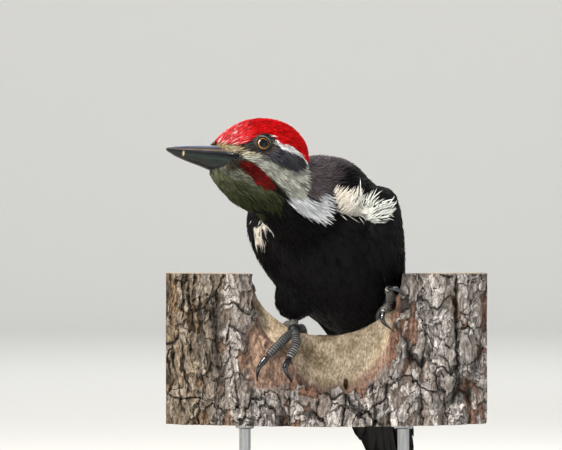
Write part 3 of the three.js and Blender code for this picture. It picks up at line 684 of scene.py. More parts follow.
# Small feathers are soft, matt keratin: their barbs part and scatter the light, with almost no gloss.
# Each one's colour is its own, darker at the root.
tint = add(tree, "ShaderNodeAttribute", attribute_name="tint").outputs["Color"]
tree.links.new(tint, shader.inputs["Base Color"])
shader.inputs["Roughness"].default_value = 0.72
shader.inputs["Specular IOR Level"].default_value = 0.07

FLESH = ["head", "neck", "trunk", "thigh_left", "thigh_right", "wing_left", "wing_right"]
bm = bmesh.new()
for name in FLESH:
    one = bmesh.new()
    one.from_mesh(nodes[name].data)
    bmesh.ops.remove_doubles(one, verts=one.verts, dist=1e-6)
    one.normal_update()
    for v in one.verts:
        v.co += v.normal * 0.0005
    mesh = mesh_of(name + "_copy", one)
    bm.from_mesh(mesh)
    bpy.data.meshes.remove(mesh)
mesh = mesh_of("skin", bm)
skin = put("skin", mesh, feather)
bpy.context.view_layer.objects.active = skin
knit = skin.modifiers.new("knit", "REMESH")
knit.mode = "VOXEL"
knit.voxel_size = 0.0017
bpy.ops.object.modifier_apply(modifier=knit.name)
relax = skin.modifiers.new("relax", "CORRECTIVE_SMOOTH")
relax.smooth_type = "LENGTH_WEIGHTED"
relax.use_only_smooth = True
relax.iterations = 14
bpy.ops.object.modifier_apply(modifier=relax.name)

mesh = skin.data
co = read(mesh.vertices, "co", 3) * 1000
normal = read(mesh.vertices, "normal", 3)
up = round_neck(co)[0]
body_at = into(BODY, co)
wings = np.abs(body_at[:, 1]) > 44
depth = np.interp(up, [0.1, 0.5, 0.9], [3.4, 2.6, 1.5])
depth[wings] = 1.3
co -= normal * depth[:, None]
mesh.vertices.foreach_set("co", (co / 1000).ravel())
colour = markings_and_painted_light(co)[0]
paint = mesh.color_attributes.new(name="tint", type="FLOAT_COLOR", domain="POINT")
paint.data.foreach_set("color", np.hstack([colour * 0.6, np.ones((len(co), 1))]).ravel())
mesh.polygons.foreach_set("use_smooth", np.ones(len(mesh.polygons), bool))
bpy.ops.object.select_all(action="DESELECT")
skin.select_set(True)
bpy.ops.object.mode_set(mode="EDIT")
bpy.ops.mesh.select_all(action="SELECT")
bpy.ops.uv.smart_project(angle_limit=math.radians(66), island_margin=0.004)
bpy.ops.object.mode_set(mode="OBJECT")
mesh = skin.data
mesh.uv_layers[0].name = "OFBake"
mesh.update()
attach(skin, "root")
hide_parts(*FLESH)

# ------------------------------------------------------------------ eyes
# Each eye is a glass ball: a wide black pupil, an amber iris with fine streaks, and a clear, wet front.
# It sits deep in the head, and the lids hold all but its front.

glass, tree, shader = new_material("glass_eye")
# Clear glass over paint. Its gloss is softer than real glass has, because a lamp's reflection would
# otherwise be too small to show.
out_from = add(tree, "ShaderNodeAttribute", attribute_name="off_axis").outputs["Fac"]
streak = add(tree, "ShaderNodeUVMap", uv_map="iris").outputs[0]
streak = add(tree, "ShaderNodeMapping", {0: streak, "Scale": (60, 3, 1)}).outputs[0]
streak = add(tree, "ShaderNodeTexNoise", {"Vector": streak, "Scale": 1.0, "Detail": 3}).outputs[0]
iris = ramp(tree, streak, [(0.3, "#5b3814"), (0.5, "#96662b"), (0.7, "#c08f4d")])
zones = ramp(
    tree, out_from,
    [(0.0, "#010102"), (0.59, "#010102"), (0.62, "#ffffff"), (0.69, "#e8cfa8"), (0.73, "#1a1512")]
)
eye_paint = add(
    tree, "ShaderNodeMix", {0: 1.0, 6: iris, 7: zones}, data_type="RGBA", blend_type="MULTIPLY"
).outputs[2]
tree.links.new(eye_paint, shader.inputs["Base Color"])
shader.inputs["Roughness"].default_value = 0.5
shader.inputs["Specular IOR Level"].default_value = 0.0
shader.inputs["Coat Weight"].default_value = 1.0
shader.inputs["Coat Roughness"].default_value = 0.2
shader.inputs["Coat IOR"].default_value = 1.4

lid_skin, tree, shader = new_material("bare_lid_skin")
# The bare skin round the eye is dark grey and finely folded, with paler flecks on its folds. On the upper
# lid the folds are pale bluish grey: partly paler skin on the folds, partly a painted highlight of the
# light from above.
place = add(tree, "ShaderNodeTexCoord").outputs["Object"]
fleck = add(tree, "ShaderNodeTexNoise", {"Vector": place, "Scale": 1000 / 0.9, "Detail": 4}).outputs[0]
fold = add(tree, "ShaderNodeAttribute", attribute_name="off_axis").outputs["Fac"]
skin_tone = ramp(tree, fleck, [(0.35, "#101012"), (0.57, "#1b1b1e"), (0.72, "#4f504a")])
rim_tone = ramp(tree, fold, [(0.0, "#4a4848"), (0.25, "#d8d8d4"), (0.6, "#b0b0ac"), (1.0, "#606060")])
lid_paint = add(
    tree, "ShaderNodeMix", {0: 1.0, 6: skin_tone, 7: rim_tone}, data_type="RGBA", blend_type="MULTIPLY"
).outputs[2]
# Pale bluish folds, strongest on the upper lid: partly pale skin, partly a painted highlight.
pale_fold_and_highlight = add(tree, "ShaderNodeAttribute", attribute_name="pale_fold_and_highlight").outputs["Fac"]
lid_paint = add(
    tree, "ShaderNodeMix", {0: pale_fold_and_highlight, 6: lid_paint, 7: linear("#8d9a94")}, data_type="RGBA"
).outputs[2]
tree.links.new(lid_paint, shader.inputs["Base Color"])
shader.inputs["Roughness"].default_value = 0.6
shader.inputs["Specular IOR Level"].default_value = 0.2
bump = add(tree, "ShaderNodeBump", {"Height": fleck, "Strength": 0.4, "Distance": 0.0003})
tree.links.new(bump.outputs[0], shader.inputs["Normal"])

LID = [
    (4.6, 3.7), (4.65, 4.4), (5.0, 4.75), (5.5, 4.5), (5.9, 3.95), (6.4, 3.6), (7.0, 2.6), (7.7, 1.2),
    (7.9, -1.0), (5.5, 0.8)
]
for side, hand in (("left", 1), ("right", -1)):
    low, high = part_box(f"eye_{side}")
    centre = (low + high) / 2
    axis = Vector(out_of((HEAD[0], np.zeros(3)), unit(np.array([0.16, hand * 0.98, 0.04]))))
    upward = Vector(HEAD[0][:, 2])
    ahead = upward.cross(axis).normalized()
    upward = axis.cross(ahead)
    turned = Matrix((ahead, upward, axis)).transposed().to_4x4()
    bm = bmesh.new()
    bmesh.ops.create_uvsphere(bm, u_segments=64, v_segments=40, radius=(high.x - low.x) / 2)
    coords = bm.loops.layers.uv.new("iris")
    off_axis = bm.verts.layers.float.new("off_axis")
    for v in bm.verts:
        v[off_axis] = math.hypot(v.co.x, v.co.y) * 1000 / 6.2 if v.co.z > 0 else 1.0
    for face in bm.faces:
        for loop in face.loops:
            p = loop.vert.co
            loop[coords].uv = (math.atan2(p.y, p.x) / math.tau + 0.5, math.hypot(p.x, p.y) * 100)
    bmesh.ops.transform(bm, matrix=Matrix.Translation(centre) @ turned, verts=bm.verts)
    mesh = mesh_of(f"eyeball_{side}", bm)
    mesh.shade_smooth()
    eyeball = put(f"eyeball_{side}", mesh, glass)
    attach(eyeball, "root")
    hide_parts(f"eye_{side}")

    loop = LID + LID[:1]

    def lid_place(u, v):
        turn = math.tau * u
        at = v * (len(loop) - 1)
        i = min(int(at), len(loop) - 2)
        out, high_up = (loop[i][k] + (loop[i + 1][k] - loop[i][k]) * (at - i) for k in (0, 1))
        crease = 0.16 * noise.noise((math.cos(turn) * 2.6, math.sin(turn) * 2.6, out * 1.6)) * (out > 5.3)
        oval = 1 + 0.05 * math.cos(turn) ** 2 * (out > 5)
        p = Vector((out * oval * math.cos(turn), out * 0.97 * math.sin(turn), high_up + crease))
        return (turned @ p) + centre * 1000

    bm = wrapped(96, 30, lid_place, closed=False)
    off_axis = bm.verts.layers.float.new("off_axis")
    pale_fold_and_highlight = bm.verts.layers.float.new("pale_fold_and_highlight")
    for v in bm.verts:
        away = (v.co - centre) * 1000
        out = (away - axis * away.dot(axis)).length
        v[off_axis] = max(0, (out - 4.7) / 4)
        turn = math.degrees(math.atan2(away.dot(upward), away.dot(ahead) * hand))
        folds = math.exp(-(((out - 6.1) / 0.22) ** 2)) + math.exp(-(((out - 7.2) / 0.25) ** 2))
        # The pale fold colour is strongest on the top of the lids, where it is also a painted highlight of
        # the light from above.
        v[pale_fold_and_highlight] = min(1, folds) * float(
            np.interp(turn, [-180, -20, 25, 95, 125, 180], [0.06, 0.1, 0.9, 0.8, 0.1, 0.06])
        )
    mesh = mesh_of(f"lids_{side}", bm)
    mesh.shade_smooth()
    lids = put(f"lids_{side}", mesh, lid_skin)
    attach(lids, "root")

# ------------------------------------------------------------------ bill
# Two halves of hard horn that meet along the mouth: a straight chisel with a ridge on top, a groove on each
# side, and a worn pale fleck across the cutting edges near the tip. It is cast and painted.

BILL = {
    "mouth": [(16, -11.9), (34, -12.1), (60, -13.3), (72.5, -12.6)],
    "ridge": [(16, 0), (22, -1.5), (34, -4.4), (45, -6), (55.6, -7.4), (65, -9.6), (72.5, -11.6)],
    "keel": [(16, -24.4), (22, -24), (34.8, -22.9), (44.4, -20.9), (55.2, -19.1), (64, -17), (72.5, -13.6)],
    "half": [(16, 15), (20, 13.2), (26, 10.1), (30, 8.9), (36, 7.6), (52, 5.2), (64, 3), (72.5, 0.9)],
}


def on(curve, x):
    return float(np.interp(x, [p[0] for p in curve], [p[1] for p in curve]))


horn, tree, shader = new_material("slate_horn")
# Horn is hard, fine-grained and satin, with growth lines 0.5 mm apart along it. It is slate blue above,
# black-green below, worn to pale horn in a streak and in a fleck near the tip. The pale bluish band along
# the ridge is a painted highlight, and the lighter teal band on the lower half is a painted sheen.
along = add(tree, "ShaderNodeAttribute", attribute_name="along").outputs["Fac"]
up_from = add(tree, "ShaderNodeAttribute", attribute_name="up_from_mouth").outputs["Fac"]
length_way = add(tree, "ShaderNodeCombineXYZ", {0: along, 1: up_from}).outputs[0]
lines = add(tree, "ShaderNodeMapping", {0: length_way, "Scale": (5, 26, 1)}).outputs[0]
lines = add(
    tree, "ShaderNodeTexNoise", {"Vector": lines, "Scale": 1.0, "Detail": 5, "Roughness": 0.6}
).outputs[0]
# Slate blue, darkest at the mouth, with a painted highlight in pale bluish grey along the ridge.
SLATE_WITH_RIDGE_HIGHLIGHT = [
    (0.5, "#08090a"), (0.53, "#1a1c21"), (0.62, "#343845"), (0.69, "#8b775e"),
    (0.75, "#343947"), (0.88, "#50576b"), (0.96, "#9aa0b6"), (1.0, "#aeb3c6")
]
above = ramp(tree, up_from, SLATE_WITH_RIDGE_HIGHLIGHT)
# Black-green, with a lighter teal band painted as sheen.
below = ramp(
    tree, up_from,
    [(0.0, "#0e110c"), (0.2, "#141a14"), (0.33, "#28382f"), (0.44, "#0f1312"), (0.5, "#050606")]
)
is_above = add(tree, "ShaderNodeMath", {0: up_from, 1: 0.5}, operation="GREATER_THAN").outputs[0]
horn_tone = add(tree, "ShaderNodeMix", {0: is_above, 6: below, 7: above}, data_type="RGBA").outputs[2]
wear = ramp(tree, lines, [(0.36, "#6f6f73"), (0.52, "#c9c7c4"), (0.66, "#fff0dc")])
horn_tone = add(
    tree, "ShaderNodeMix", {0: 0.9, 6: horn_tone, 7: wear}, data_type="RGBA", blend_type="MULTIPLY"
).outputs[2]
worn_along = ramp(
    tree, along, [(0.755, "#000000"), (0.765, "#ffffff"), (0.775, "#ffffff"), (0.79, "#000000")]
)
worn_up = ramp(tree, up_from, [(0.12, "#000000"), (0.25, "#ffffff"), (0.5, "#ffffff"), (0.56, "#000000")])
worn = add(tree, "ShaderNodeMath", {0: worn_along, 1: worn_up}, operation="MULTIPLY").outputs[0]
horn_tone = add(
    tree, "ShaderNodeMix", {0: worn, 6: horn_tone, 7: linear("#b79f7e")}, data_type="RGBA"
).outputs[2]
tree.links.new(horn_tone, shader.inputs["Base Color"])
shader.inputs["Roughness"].default_value = 0.3
shader.inputs["Specular IOR Level"].default_value = 0.27
bump = add(tree, "ShaderNodeBump", {"Height": lines, "Strength": 0.25, "Distance": 0.0003})
tree.links.new(bump.outputs[0], shader.inputs["Normal"])

for half, edge, sign in (("upper", "ridge", 1), ("lower", "keel", -1)):

    def bill_place(u, v):
        x = 16 + 56.7 * u
        base = on(BILL["mouth"], x) + sign * 0.12
        tall, wide = abs(on(BILL[edge], x) - base), on(BILL["half"], x)
        if sign < 0:
            wide *= on([(16, 0.86), (23, 0.93), (27, 1)], x)
        if v < 0.8:
            turn = math.pi * v / 0.8
            out, lift = math.cos(turn), math.sin(turn)
            ridge = max(0, lift - 0.93) / 0.07
            lift = lift ** (0.85 if sign > 0 else 0.72) * (1 + (0.04 * ridge if sign > 0 else 0))
            off_groove = ((v / 0.8 - 0.5) ** 2) ** 0.5 - 0.27
            if sign > 0:
                out *= 1 - 0.05 * math.exp(-(off_groove**2) / 0.0012)
        else:
            out, lift = -1 + 2 * (v - 0.8) / 0.2, 0.05 * math.sin(math.pi * (v - 0.8) / 0.2)
        tip = math.sqrt(max(0, 1 - max(0, (u - 0.965) / 0.035) ** 2)) if u > 0.965 else 1
        return out_of(HEAD, (x, out * wide * max(tip, 0.05), base + sign * tall * lift * max(tip, 0.05)))

    bm = wrapped(110, 60, bill_place)
    along_layer = bm.verts.layers.float.new("along")
    up_layer = bm.verts.layers.float.new("up_from_mouth")
    for v in bm.verts:
        x, y, z = into(HEAD, np.array(v.co) * 1000)
        v[along_layer] = (x - 16) / 56.5
        tall = abs(on(BILL[edge], x) - on(BILL["mouth"], x))
        v[up_layer] = 0.5 + 0.5 * (z - on(BILL["mouth"], x)) / max(tall, 0.3)
    mesh = mesh_of(f"bill_half_{half}", bm)
    mesh.shade_smooth()
    mesh.set_sharp_from_angle(angle=math.radians(50))
    mandible = put(f"bill_half_{half}", mesh, horn)
    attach(mandible, "root")
    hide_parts(f"bill_{half}")

# ------------------------------------------------------------------ feet
# Grey scaled legs: two toes forward and two back on each, ringed with narrow scutes about 2 mm apart,
# dark with pale edges, and a knuckle where they meet. They are cast round a wire.

FEET = {
    "right": {
        "knob": (-23.5, -19, 190.5), "heel": (-24, 13, 201),
        "toes": [
            ((-33, -29, 182.5), (-44.4, -36, 171), (-51, -39, 162), (-52.6, -29, 151), 3.4),
            ((-22, -30, 181), (-27.5, -37, 169.5), (-30.5, -41, 162), (-23.5, -33, 148), 3.4),
            ((-29, -1, 195), (-34, 10, 187), (-36, 13, 179), (-35, 6, 172), 2.8),
            ((-17, -1, 192), (-15, 9, 184), (-14, 11, 176), (-14, 3, 170), 2.8),
        ],
    },
    "left": {
        "knob": (51, -18, 211), "heel": (46, 18, 207),
        "toes": [
            ((51, -27, 218), (49, -36, 224), (56, -41, 223), (66, -33, 215), 3.2),
            ((48, -26, 208), (45, -34, 206), (45, -38, 199), (54, -31, 190), 3.2),
            ((49, -2, 211), (53, 13, 203), (55, 16, 196), (57, 11, 190), 2.8),
            ((44, -4, 204), (44, 11, 197), (46, 14, 189), (48, 8, 183), 2.8),
        ],
    },
}

scaled, tree, shader = new_material("scaled_foot_skin")
# Dry horny scutes have a dull gloss, and their free edges are worn pale.
ring = add(tree, "ShaderNodeAttribute", attribute_name="scute").outputs["Fac"]
place = add(tree, "ShaderNodeTexCoord").outputs["Object"]
dirt = add(tree, "ShaderNodeTexNoise", {"Vector": place, "Scale": 1000 / 1.4, "Detail": 4}).outputs[0]
SCUTE_TONES = [
    (0.0, "#161617"), (0.4, "#2b2b2e"), (0.7, "#47474a"),
    (0.84, "#c9c5bb"), (0.94, "#a19d95"), (1.0, "#1d1d1e")
]
scute = ramp(tree, ring, SCUTE_TONES)
soil = ramp(tree, dirt, [(0.35, "#9a9794"), (0.65, "#ffffff")])
foot_tone = add(
    tree, "ShaderNodeMix", {0: 0.8, 6: scute, 7: soil}, data_type="RGBA", blend_type="MULTIPLY"
).outputs[2]
tree.links.new(foot_tone, shader.inputs["Base Color"])
shader.inputs["Roughness"].default_value = 0.5
bump = add(tree, "ShaderNodeBump", {"Height": dirt, "Strength": 0.25, "Distance": 0.0003})
tree.links.new(bump.outputs[0], shader.inputs["Normal"])

claw_horn, tree, shader = new_material("polished_claw_horn")
# Claws are the hardest horn on the bird, polished by climbing: black, with bluish light on top.
place = add(tree, "ShaderNodeTexCoord").outputs["Object"]
cloud = add(tree, "ShaderNodeTexNoise", {"Vector": place, "Scale": 1000 / 2.5, "Detail": 3}).outputs[0]
tree.links.new(ramp(tree, cloud, [(0.35, "#08090b"), (0.65, "#1d1f26")]), shader.inputs["Base Color"])
shader.inputs["Roughness"].default_value = 0.2
shader.inputs["IOR"].default_value = 1.56


def line_through(points, count):
    """Evenly spaced places on a smooth line through a few points."""
    points = np.array(points, float)
    steps = np.concatenate([[0], np.cumsum(np.sqrt(np.linalg.norm(np.diff(points, axis=0), axis=1)))])
    slope = np.gradient(points, steps, axis=0)
    t = np.linspace(0, steps[-1], count)
    i = np.clip(np.searchsorted(steps, t, side="right") - 1, 0, len(points) - 2)
    h = (steps[i + 1] - steps[i])[:, None]
    s = (t[:, None] - steps[i][:, None]) / h
    a, b = points[i], points[i + 1]
    line = (2 * s**3 - 3 * s**2 + 1) * a + (s**3 - 2 * s**2 + s) * h * slope[i]
    return line + (3 * s**2 - 2 * s**3) * b + (s**3 - s**2) * h * slope[i + 1]


def finder(points):
    """A tree that finds the nearest of some points."""
    made = KDTree(len(points))
    for k, p in enumerate(points):
        made.insert(p, k)
    made.balance()
    return made


def limb(points, radii, rings, around, scutes=0, squeeze=1.0):
    """A round limb, ringed with scutes, its ends closed to points. It is added to nothing yet."""
    line = line_through(points, rings + 1)
    length = np.linalg.norm(np.diff(line, axis=0), axis=1).sum()
    along = unit(np.gradient(line, axis=0))
    side = unit(np.cross(along, (0.3, 0.9, 0.2)))
    rise = np.cross(side, along)

    def at(u, v):
        k = min(rings, max(0, round(u * rings)))
        size = float(np.interp(u, np.linspace(0, 1, len(radii)), radii))
        if scutes:
            phase = (u * length / scutes) % 1
            size *= 1 + 0.07 * phase - 0.035
        turn = math.tau * v
        end = min(u, 1 - u) * length / size
        size *= math.sqrt(max(0.0, 1 - (1 - min(1.0, end / 0.9)) ** 2)) if end < 0.9 else 1
        return line[k] + side[k] * math.cos(turn) * size + rise[k] * math.sin(turn) * size * squeeze

    bm = wrapped(rings, around, at)
    layer = bm.verts.layers.float.new("scute")
    from_start = finder(line)
    for v in bm.verts:
        k = from_start.find(v.co * 1000)[1]
        v[layer] = (k / rings * length / scutes) % 1 if scutes else 0
    return bm


def joined(name, parts, finish):
    whole = bmesh.new()
    whole.verts.layers.float.new("scute")
    for part in parts:
        mesh = mesh_of("part", part)
        whole.from_mesh(mesh)
        bpy.data.meshes.remove(mesh)
    mesh = mesh_of(name, whole)
    mesh.shade_smooth()
    return put(name, mesh, finish)


for side, foot in FEET.items():
    knob, heel = foot["knob"], foot["heel"]
    middle = [(a + b) / 2 for a, b in zip(knob, heel)]
    parts = [limb([heel, middle, knob], [4.6, 3.6, 3.4, 3.8, 5.2], 60, 20, scutes=3.1)]
    bm = bmesh.new()
    bmesh.ops.create_uvsphere(bm, u_segments=24, v_segments=16, radius=0.0053)
    bmesh.ops.translate(bm, verts=bm.verts, vec=Vector(knob) / 1000)
    parts.append(bm)
    claws = []
    for bend, end, curl, tip, size in foot["toes"]:
        radii = [1.15 * size, 1.02 * size, 1.08 * size, 0.94 * size, 0.98 * size, 0.8 * size]
        parts.append(limb([knob, bend, end], radii, 84, 20, scutes=2.0))
        radii = [0.74 * size, 0.7 * size, 0.52 * size, 0.3 * size, 0.3]
        claws.append(limb([end, curl, tip], radii, 36, 18, squeeze=0.8))
    legs = joined(f"foot_{side}", parts, scaled)
    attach(legs, "root")
    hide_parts(f"tarsus_{side}", *[f"toe_{side}_{i}" for i in (1, 2, 3, 4)])
    nails = joined(f"nails_{side}", claws, claw_horn)
    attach(nails, "root")
    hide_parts(*[f"claw_{side}_{i}" for i in (1, 2, 3, 4)])

# ------------------------------------------------------------------ head and neck feathers
# On the head and neck the feathers are short, and their barbs part into fine soft strands, so they
# are laid as strands that start in the skin, follow the lie backwards and overlap.

mesh = skin.data
mesh.calc_loop_triangles()
skin_at = read(mesh.vertices, "co", 3) * 1000
skin_normal = read(mesh.vertices, "normal", 3)
corners = read(mesh.loop_triangles, "vertices", 3, np.int32)
corner_uv = read(mesh.uv_layers["OFBake"].data, "uv", 2)[read(mesh.loop_triangles, "loops", 3, np.int32)]
tri_middle = skin_at[corners].mean(1)
first, second, third = (skin_at[corners[:, k]] for k in range(3))
tri_area = 0.5 * np.linalg.norm(np.cross(second - first, third - first), axis=1)
tri_up = unit(skin_normal[corners].mean(1))
skin_tree = BVHTree.FromPolygons(skin_at.tolist(), corners.tolist(), all_triangles=True)


def scatter(keep, spacing, seed):
    """Places all over the part of the skin where keep holds, none nearer to another than spacing (mm)."""
    rng = np.random.default_rng(seed)
    kept = np.flatnonzero(keep(tri_middle))
    share = tri_area[kept] / tri_area[kept].sum()
    count = int(tri_area[kept].sum() / spacing**2 * 3)  # three tries for each place that can be filled
    pick = kept[rng.choice(len(kept), count, p=share)]
    a, b = rng.random((2, count))
    over = a + b > 1
    a[over], b[over] = 1 - a[over], 1 - b[over]
    weight = np.stack([1 - a - b, a, b], 1)[:, :, None]
    places = (skin_at[corners[pick]] * weight).sum(1)
    near = finder(places)
    free = np.ones(count, bool)
    chosen = []
    for k in range(count):
        if free[k]:
            chosen.append(k)
            for _, other, _ in near.find_range(places[k], spacing):
                free[other] = False
    return places[chosen], tri_up[pick[chosen]], (corner_uv[pick] * weight).sum(1)[chosen]


def onto_skin(points):
    at, up = np.empty_like(points), np.empty_like(points)
    for k, p in enumerate(points):
        at[k], _, face, _ = skin_tree.find_nearest(p)
        up[k] = tri_up[face]
    return at, up


# The lie of the feathers: away from the bill, over the head, down the neck and along the trunk.
first = out_of(HEAD, [(34, 0, -10), (20, 0, -8), (6, 0, -6), (-6, 0, -6)])
last = out_of(BODY, [(x, 0, 0) for x in range(10, -180, -10)])
LIE_LINE = np.vstack([first, NECK[::-4][4:-4], last])
LIE_ALONG = unit(np.gradient(LIE_LINE, axis=0))


def lie_of(points, spread=13.0):
    gap = np.linalg.norm(points[:, None, :] - LIE_LINE[None], axis=2)
    weight = np.exp(-(gap**2 - gap.min(1, keepdims=True) ** 2) / (2 * spread * spread))
    along = unit((weight[:, :, None] * LIE_ALONG[None]).sum(1))
    from_bill = points - out_of(HEAD, (30, 0, -10))
    near_bill = np.clip(1 - (np.linalg.norm(from_bill, axis=1) - 16) / 26, 0, 1)[:, None]
    return unit(along * (1 - near_bill) + unit(from_bill) * near_bill)


def lay(roots, length, steps, rise, seed, lie=lie_of, settle=1.0, stray=0.12):
    """The line of each feather from its root: it follows the lie over the skin and climbs to rise."""
    rng = np.random.default_rng(seed)
    at, up = roots
    length = np.broadcast_to(length, len(at)) * rng.uniform(0.8, 1.2, len(at))
    turn = rng.normal(0, stray, len(at))[:, None]
    path, ups, base = [at], [up], at
    for k in range(1, steps + 1):
        along = lie(at)
        along = unit(along - up * (along * up).sum(1, keepdims=True))
        along = unit(along + np.cross(up, along) * turn)
        straight = at + along * (length / steps)[:, None]
        ground, ground_up = onto_skin(straight)
        at = straight * (1 - settle) + ground * settle
        up = unit(up * (1 - settle) + ground_up * settle)
        path.append(at)
        ups.append(up)
    path, ups = np.stack(path, 1), np.stack(ups, 1)
    climb = np.linspace(0, 1, steps + 1) ** 0.8
    high = np.broadcast_to(rise, len(at)) * rng.uniform(0.75, 1.15, len(at))
    return path + ups * (climb[None, :, None] * high[:, None, None]), ups


def blades(
    name, path, up, half, section, tint, uv, finish, slot, shade=(0.6, 1.0), vary=0.12, seed=1, flat=False
):
    """Many thin closed blades as one mesh: path, up and half width at each step, and a cross-section."""
    rng = np.random.default_rng(seed)
    count, steps = path.shape[0], path.shape[1] - 1
    most = 190000 // (2 * len(section) * steps)
    if count > most:
        order = np.argsort(into(BODY, path[:, 0])[:, 0])
        parts = np.array_split(order, math.ceil(count / most))
        return [
            blades(
                f"{name}_{k + 1}", path[p], up[p], half[p], section, tint[p], uv[p], finish, slot, shade,
                vary, seed + k, flat
            )[0]
            for k, p in enumerate(parts)
        ]
    along = unit(np.gradient(path, axis=1))
    across = unit(np.cross(along, up))
    over = np.cross(across, along)
    shape = np.array(section, float)
    ring = len(shape)
    body = path[:, :-1, None] + half[:, :-1, None, None] * (
        shape[None, None, :, :1] * across[:, :-1, None] + shape[None, None, :, 1:] * over[:, :-1, None]
    )
    each = steps * ring + 1
    points = np.concatenate([body.reshape(count, -1, 3), path[:, -1:]], 1)
    faces = [list(range(ring))[::-1]]
    for k in range(steps - 1):
        here, there = k * ring, (k + 1) * ring
        beside = [(c, (c + 1) % ring) for c in range(ring)]
        faces += [[here + c, here + d, there + d, there + c] for c, d in beside]
    end = (steps - 1) * ring
    faces += [[end + c, end + (c + 1) % ring, each - 1] for c in range(ring)]
    sizes = np.array([len(f) for f in faces])
    loops = np.concatenate([np.array(f) for f in faces])
    all_loops = (loops[None] + each * np.arange(count)[:, None]).ravel()
    mesh = bpy.data.meshes.new(name)
    mesh.vertices.add(count * each)
    mesh.vertices.foreach_set("co", (points / 1000).ravel())
    mesh.loops.add(len(all_loops))
    mesh.loops.foreach_set("vertex_index", all_loops.astype(np.int32))
    mesh.polygons.add(count * len(faces))
    starts = np.concatenate([[0], np.cumsum(np.tile(sizes, count))[:-1]])
    mesh.polygons.foreach_set("loop_start", starts.astype(np.int32))
    mesh.update(calc_edges=True)
    step = np.append(np.repeat(np.arange(steps), ring), steps) / steps
    wide = np.append(np.tile(shape[:, 0], steps), 0)
    bake = mesh.uv_layers.new(name="OFBake")
    patch = np.stack([step - 0.5, wide * 0.5], 1) * 0.003
    at_root = np.clip(uv, 0.002, 0.998)[:, None] + patch[None]
    bake.data.foreach_set("uv", at_root.reshape(-1, 2)[all_loops].ravel())
    vane = mesh.uv_layers.new(name="vane")
    own = np.tile(np.stack([step, wide * 0.5 + 0.5], 1), (count, 1))
    vane.data.foreach_set("uv", own[all_loops].ravel())
    dark = np.interp(step, np.linspace(0, 1, len(shade)), shade)
    each_own = rng.normal(1, vary, (count, 1, 1))
    colour = np.clip(tint[:, None] * dark[None, :, None] * each_own, 0, 1)
    colour = np.concatenate([colour, np.ones((count, each, 1))], 2)
    paint = mesh.color_attributes.new(name="tint", type="FLOAT_COLOR", domain="POINT")
    paint.data.foreach_set("color", colour.ravel())
    mesh.polygons.foreach_set("use_smooth", np.full(len(mesh.polygons), not flat))
    made = put(name, mesh, finish)
    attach(made, "root")
    return [made]


STRAND = [(-1, 0), (0, 0.8), (1, 0)]
eye_spots = [
    np.array((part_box(f"eye_{s}")[0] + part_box(f"eye_{s}")[1]) / 2) * 1000 for s in ("left", "right")
]


def off_eyes(points, clear=6.8):
    return np.min([np.linalg.norm(points - e, axis=1) for e in eye_spots], axis=0) > clear


def taper(count, half, profile, seed):
    rng = np.random.default_rng(seed)
    return np.outer(np.broadcast_to(half, count) * rng.uniform(0.8, 1.25, count), profile)


def strands(name, roots, laid, half, profile, tint, slot, shade, vary, seed):
    """Soft strands of the feather's own finish along their laid lines."""
    path, up = laid
    wide = taper(len(path), half, profile, seed)
    blades(name, path, up, wide, STRAND, tint, roots[2], feather, slot, shade, vary, seed + 1)


def on_crown(points):
    return markings_and_painted_light(points)[1]


def off_bill(points):
    h = into(HEAD, points)
    return ~within(h[:, [0, 2]], BILL_WEDGE) & (h[:, 0] < 34.5)


def on_face(points):
    h = into(HEAD, points)
    near = (np.linalg.norm(h - (-6, 0, -6), axis=1) < 46) & (h[:, 2] > -36)
    return near & ~markings_and_painted_light(points)[1] & off_bill(points)


def on_white(points):
    return on_shoulder(points) | on_right_lining(points)


def clumped(points, each, low, high, seed):
    """A brightness for each place, shared by about so many neighbours, as the barbs of a feather do."""
    rng = np.random.default_rng(seed)
    pick = rng.choice(len(points), max(1, len(points) // each), replace=False)
    near = finder(points[pick])
    share = rng.uniform(low, high, len(pick))
    return np.array([share[near.find(p)[1]] for p in points])[:, None]


def on_neck(points):
    up = round_neck(points)[0]
    return (up > 0.22) & ~on_face(points) & ~on_crown(points) & ~on_white(points) & off_bill(points)


roots = scatter(lambda p: on_crown(p) & off_eyes(p), 0.95, 11)
path, up = lay(roots[:2], 7.0, 3, 1.5, 12, stray=0.08)
rng = np.random.default_rng(13)
tint = markings_and_painted_light(roots[0])[0]
tint = tint * clumped(roots[0], 6, 0.8, 1.25, 17)
# Towards the front the crown's red is painted pinker, with pale pink flecks: painted highlights where the
# light falls on the front of the crown.
front = np.clip((into(HEAD, roots[0])[:, 0] - 8) / 14, 0, 1)[:, None]
fleck = front * (rng.random((len(tint), 1)) < 0.13)
tint = tint * (1 - 0.35 * front) + np.array(linear("#e4727c")[:3]) * 0.35 * front
tint = tint * (1 - fleck) + np.array(linear("#e6bdb6")[:3]) * fleck
strands(
    "crown_strands", roots, (path, up), 0.42, (0.8, 1, 0.75, 0), tint, "crown_feathers", (0.6, 1.08), 0.13,
    14
)

roots = scatter(lambda p: on_face(p) & off_eyes(p), 0.9, 21)
far = np.linalg.norm(into(HEAD, roots[0]) - (30, 0, -10), axis=1)
path, up = lay(roots[:2], np.interp(far, (5, 25, 60), (3.0, 4.2, 7.0)), 3, 1.4, 22, stray=0.1)
tint = markings_and_painted_light(roots[0])[0] * clumped(roots[0], 9, 0.5, 1.45, 26)
strands(
    "face_strands", roots, (path, up), 0.33, (0.8, 1, 0.75, 0), tint, "crown_feathers", (0.5, 1.08), 0.2,
    24
)

roots = scatter(on_neck, 1.35, 31)
path, up = lay(roots[:2], 9.5, 4, 2.3, 32, stray=0.1)
tint = markings_and_painted_light(roots[0])[0] * clumped(roots[0], 5, 0.7, 1.2, 36)
strands(
    "neck_strands", roots, (path, up), 0.42, (0.8, 1, 0.9, 0.65, 0), tint, "black_feathers", (0.55, 1.05),
    0.13, 34
)

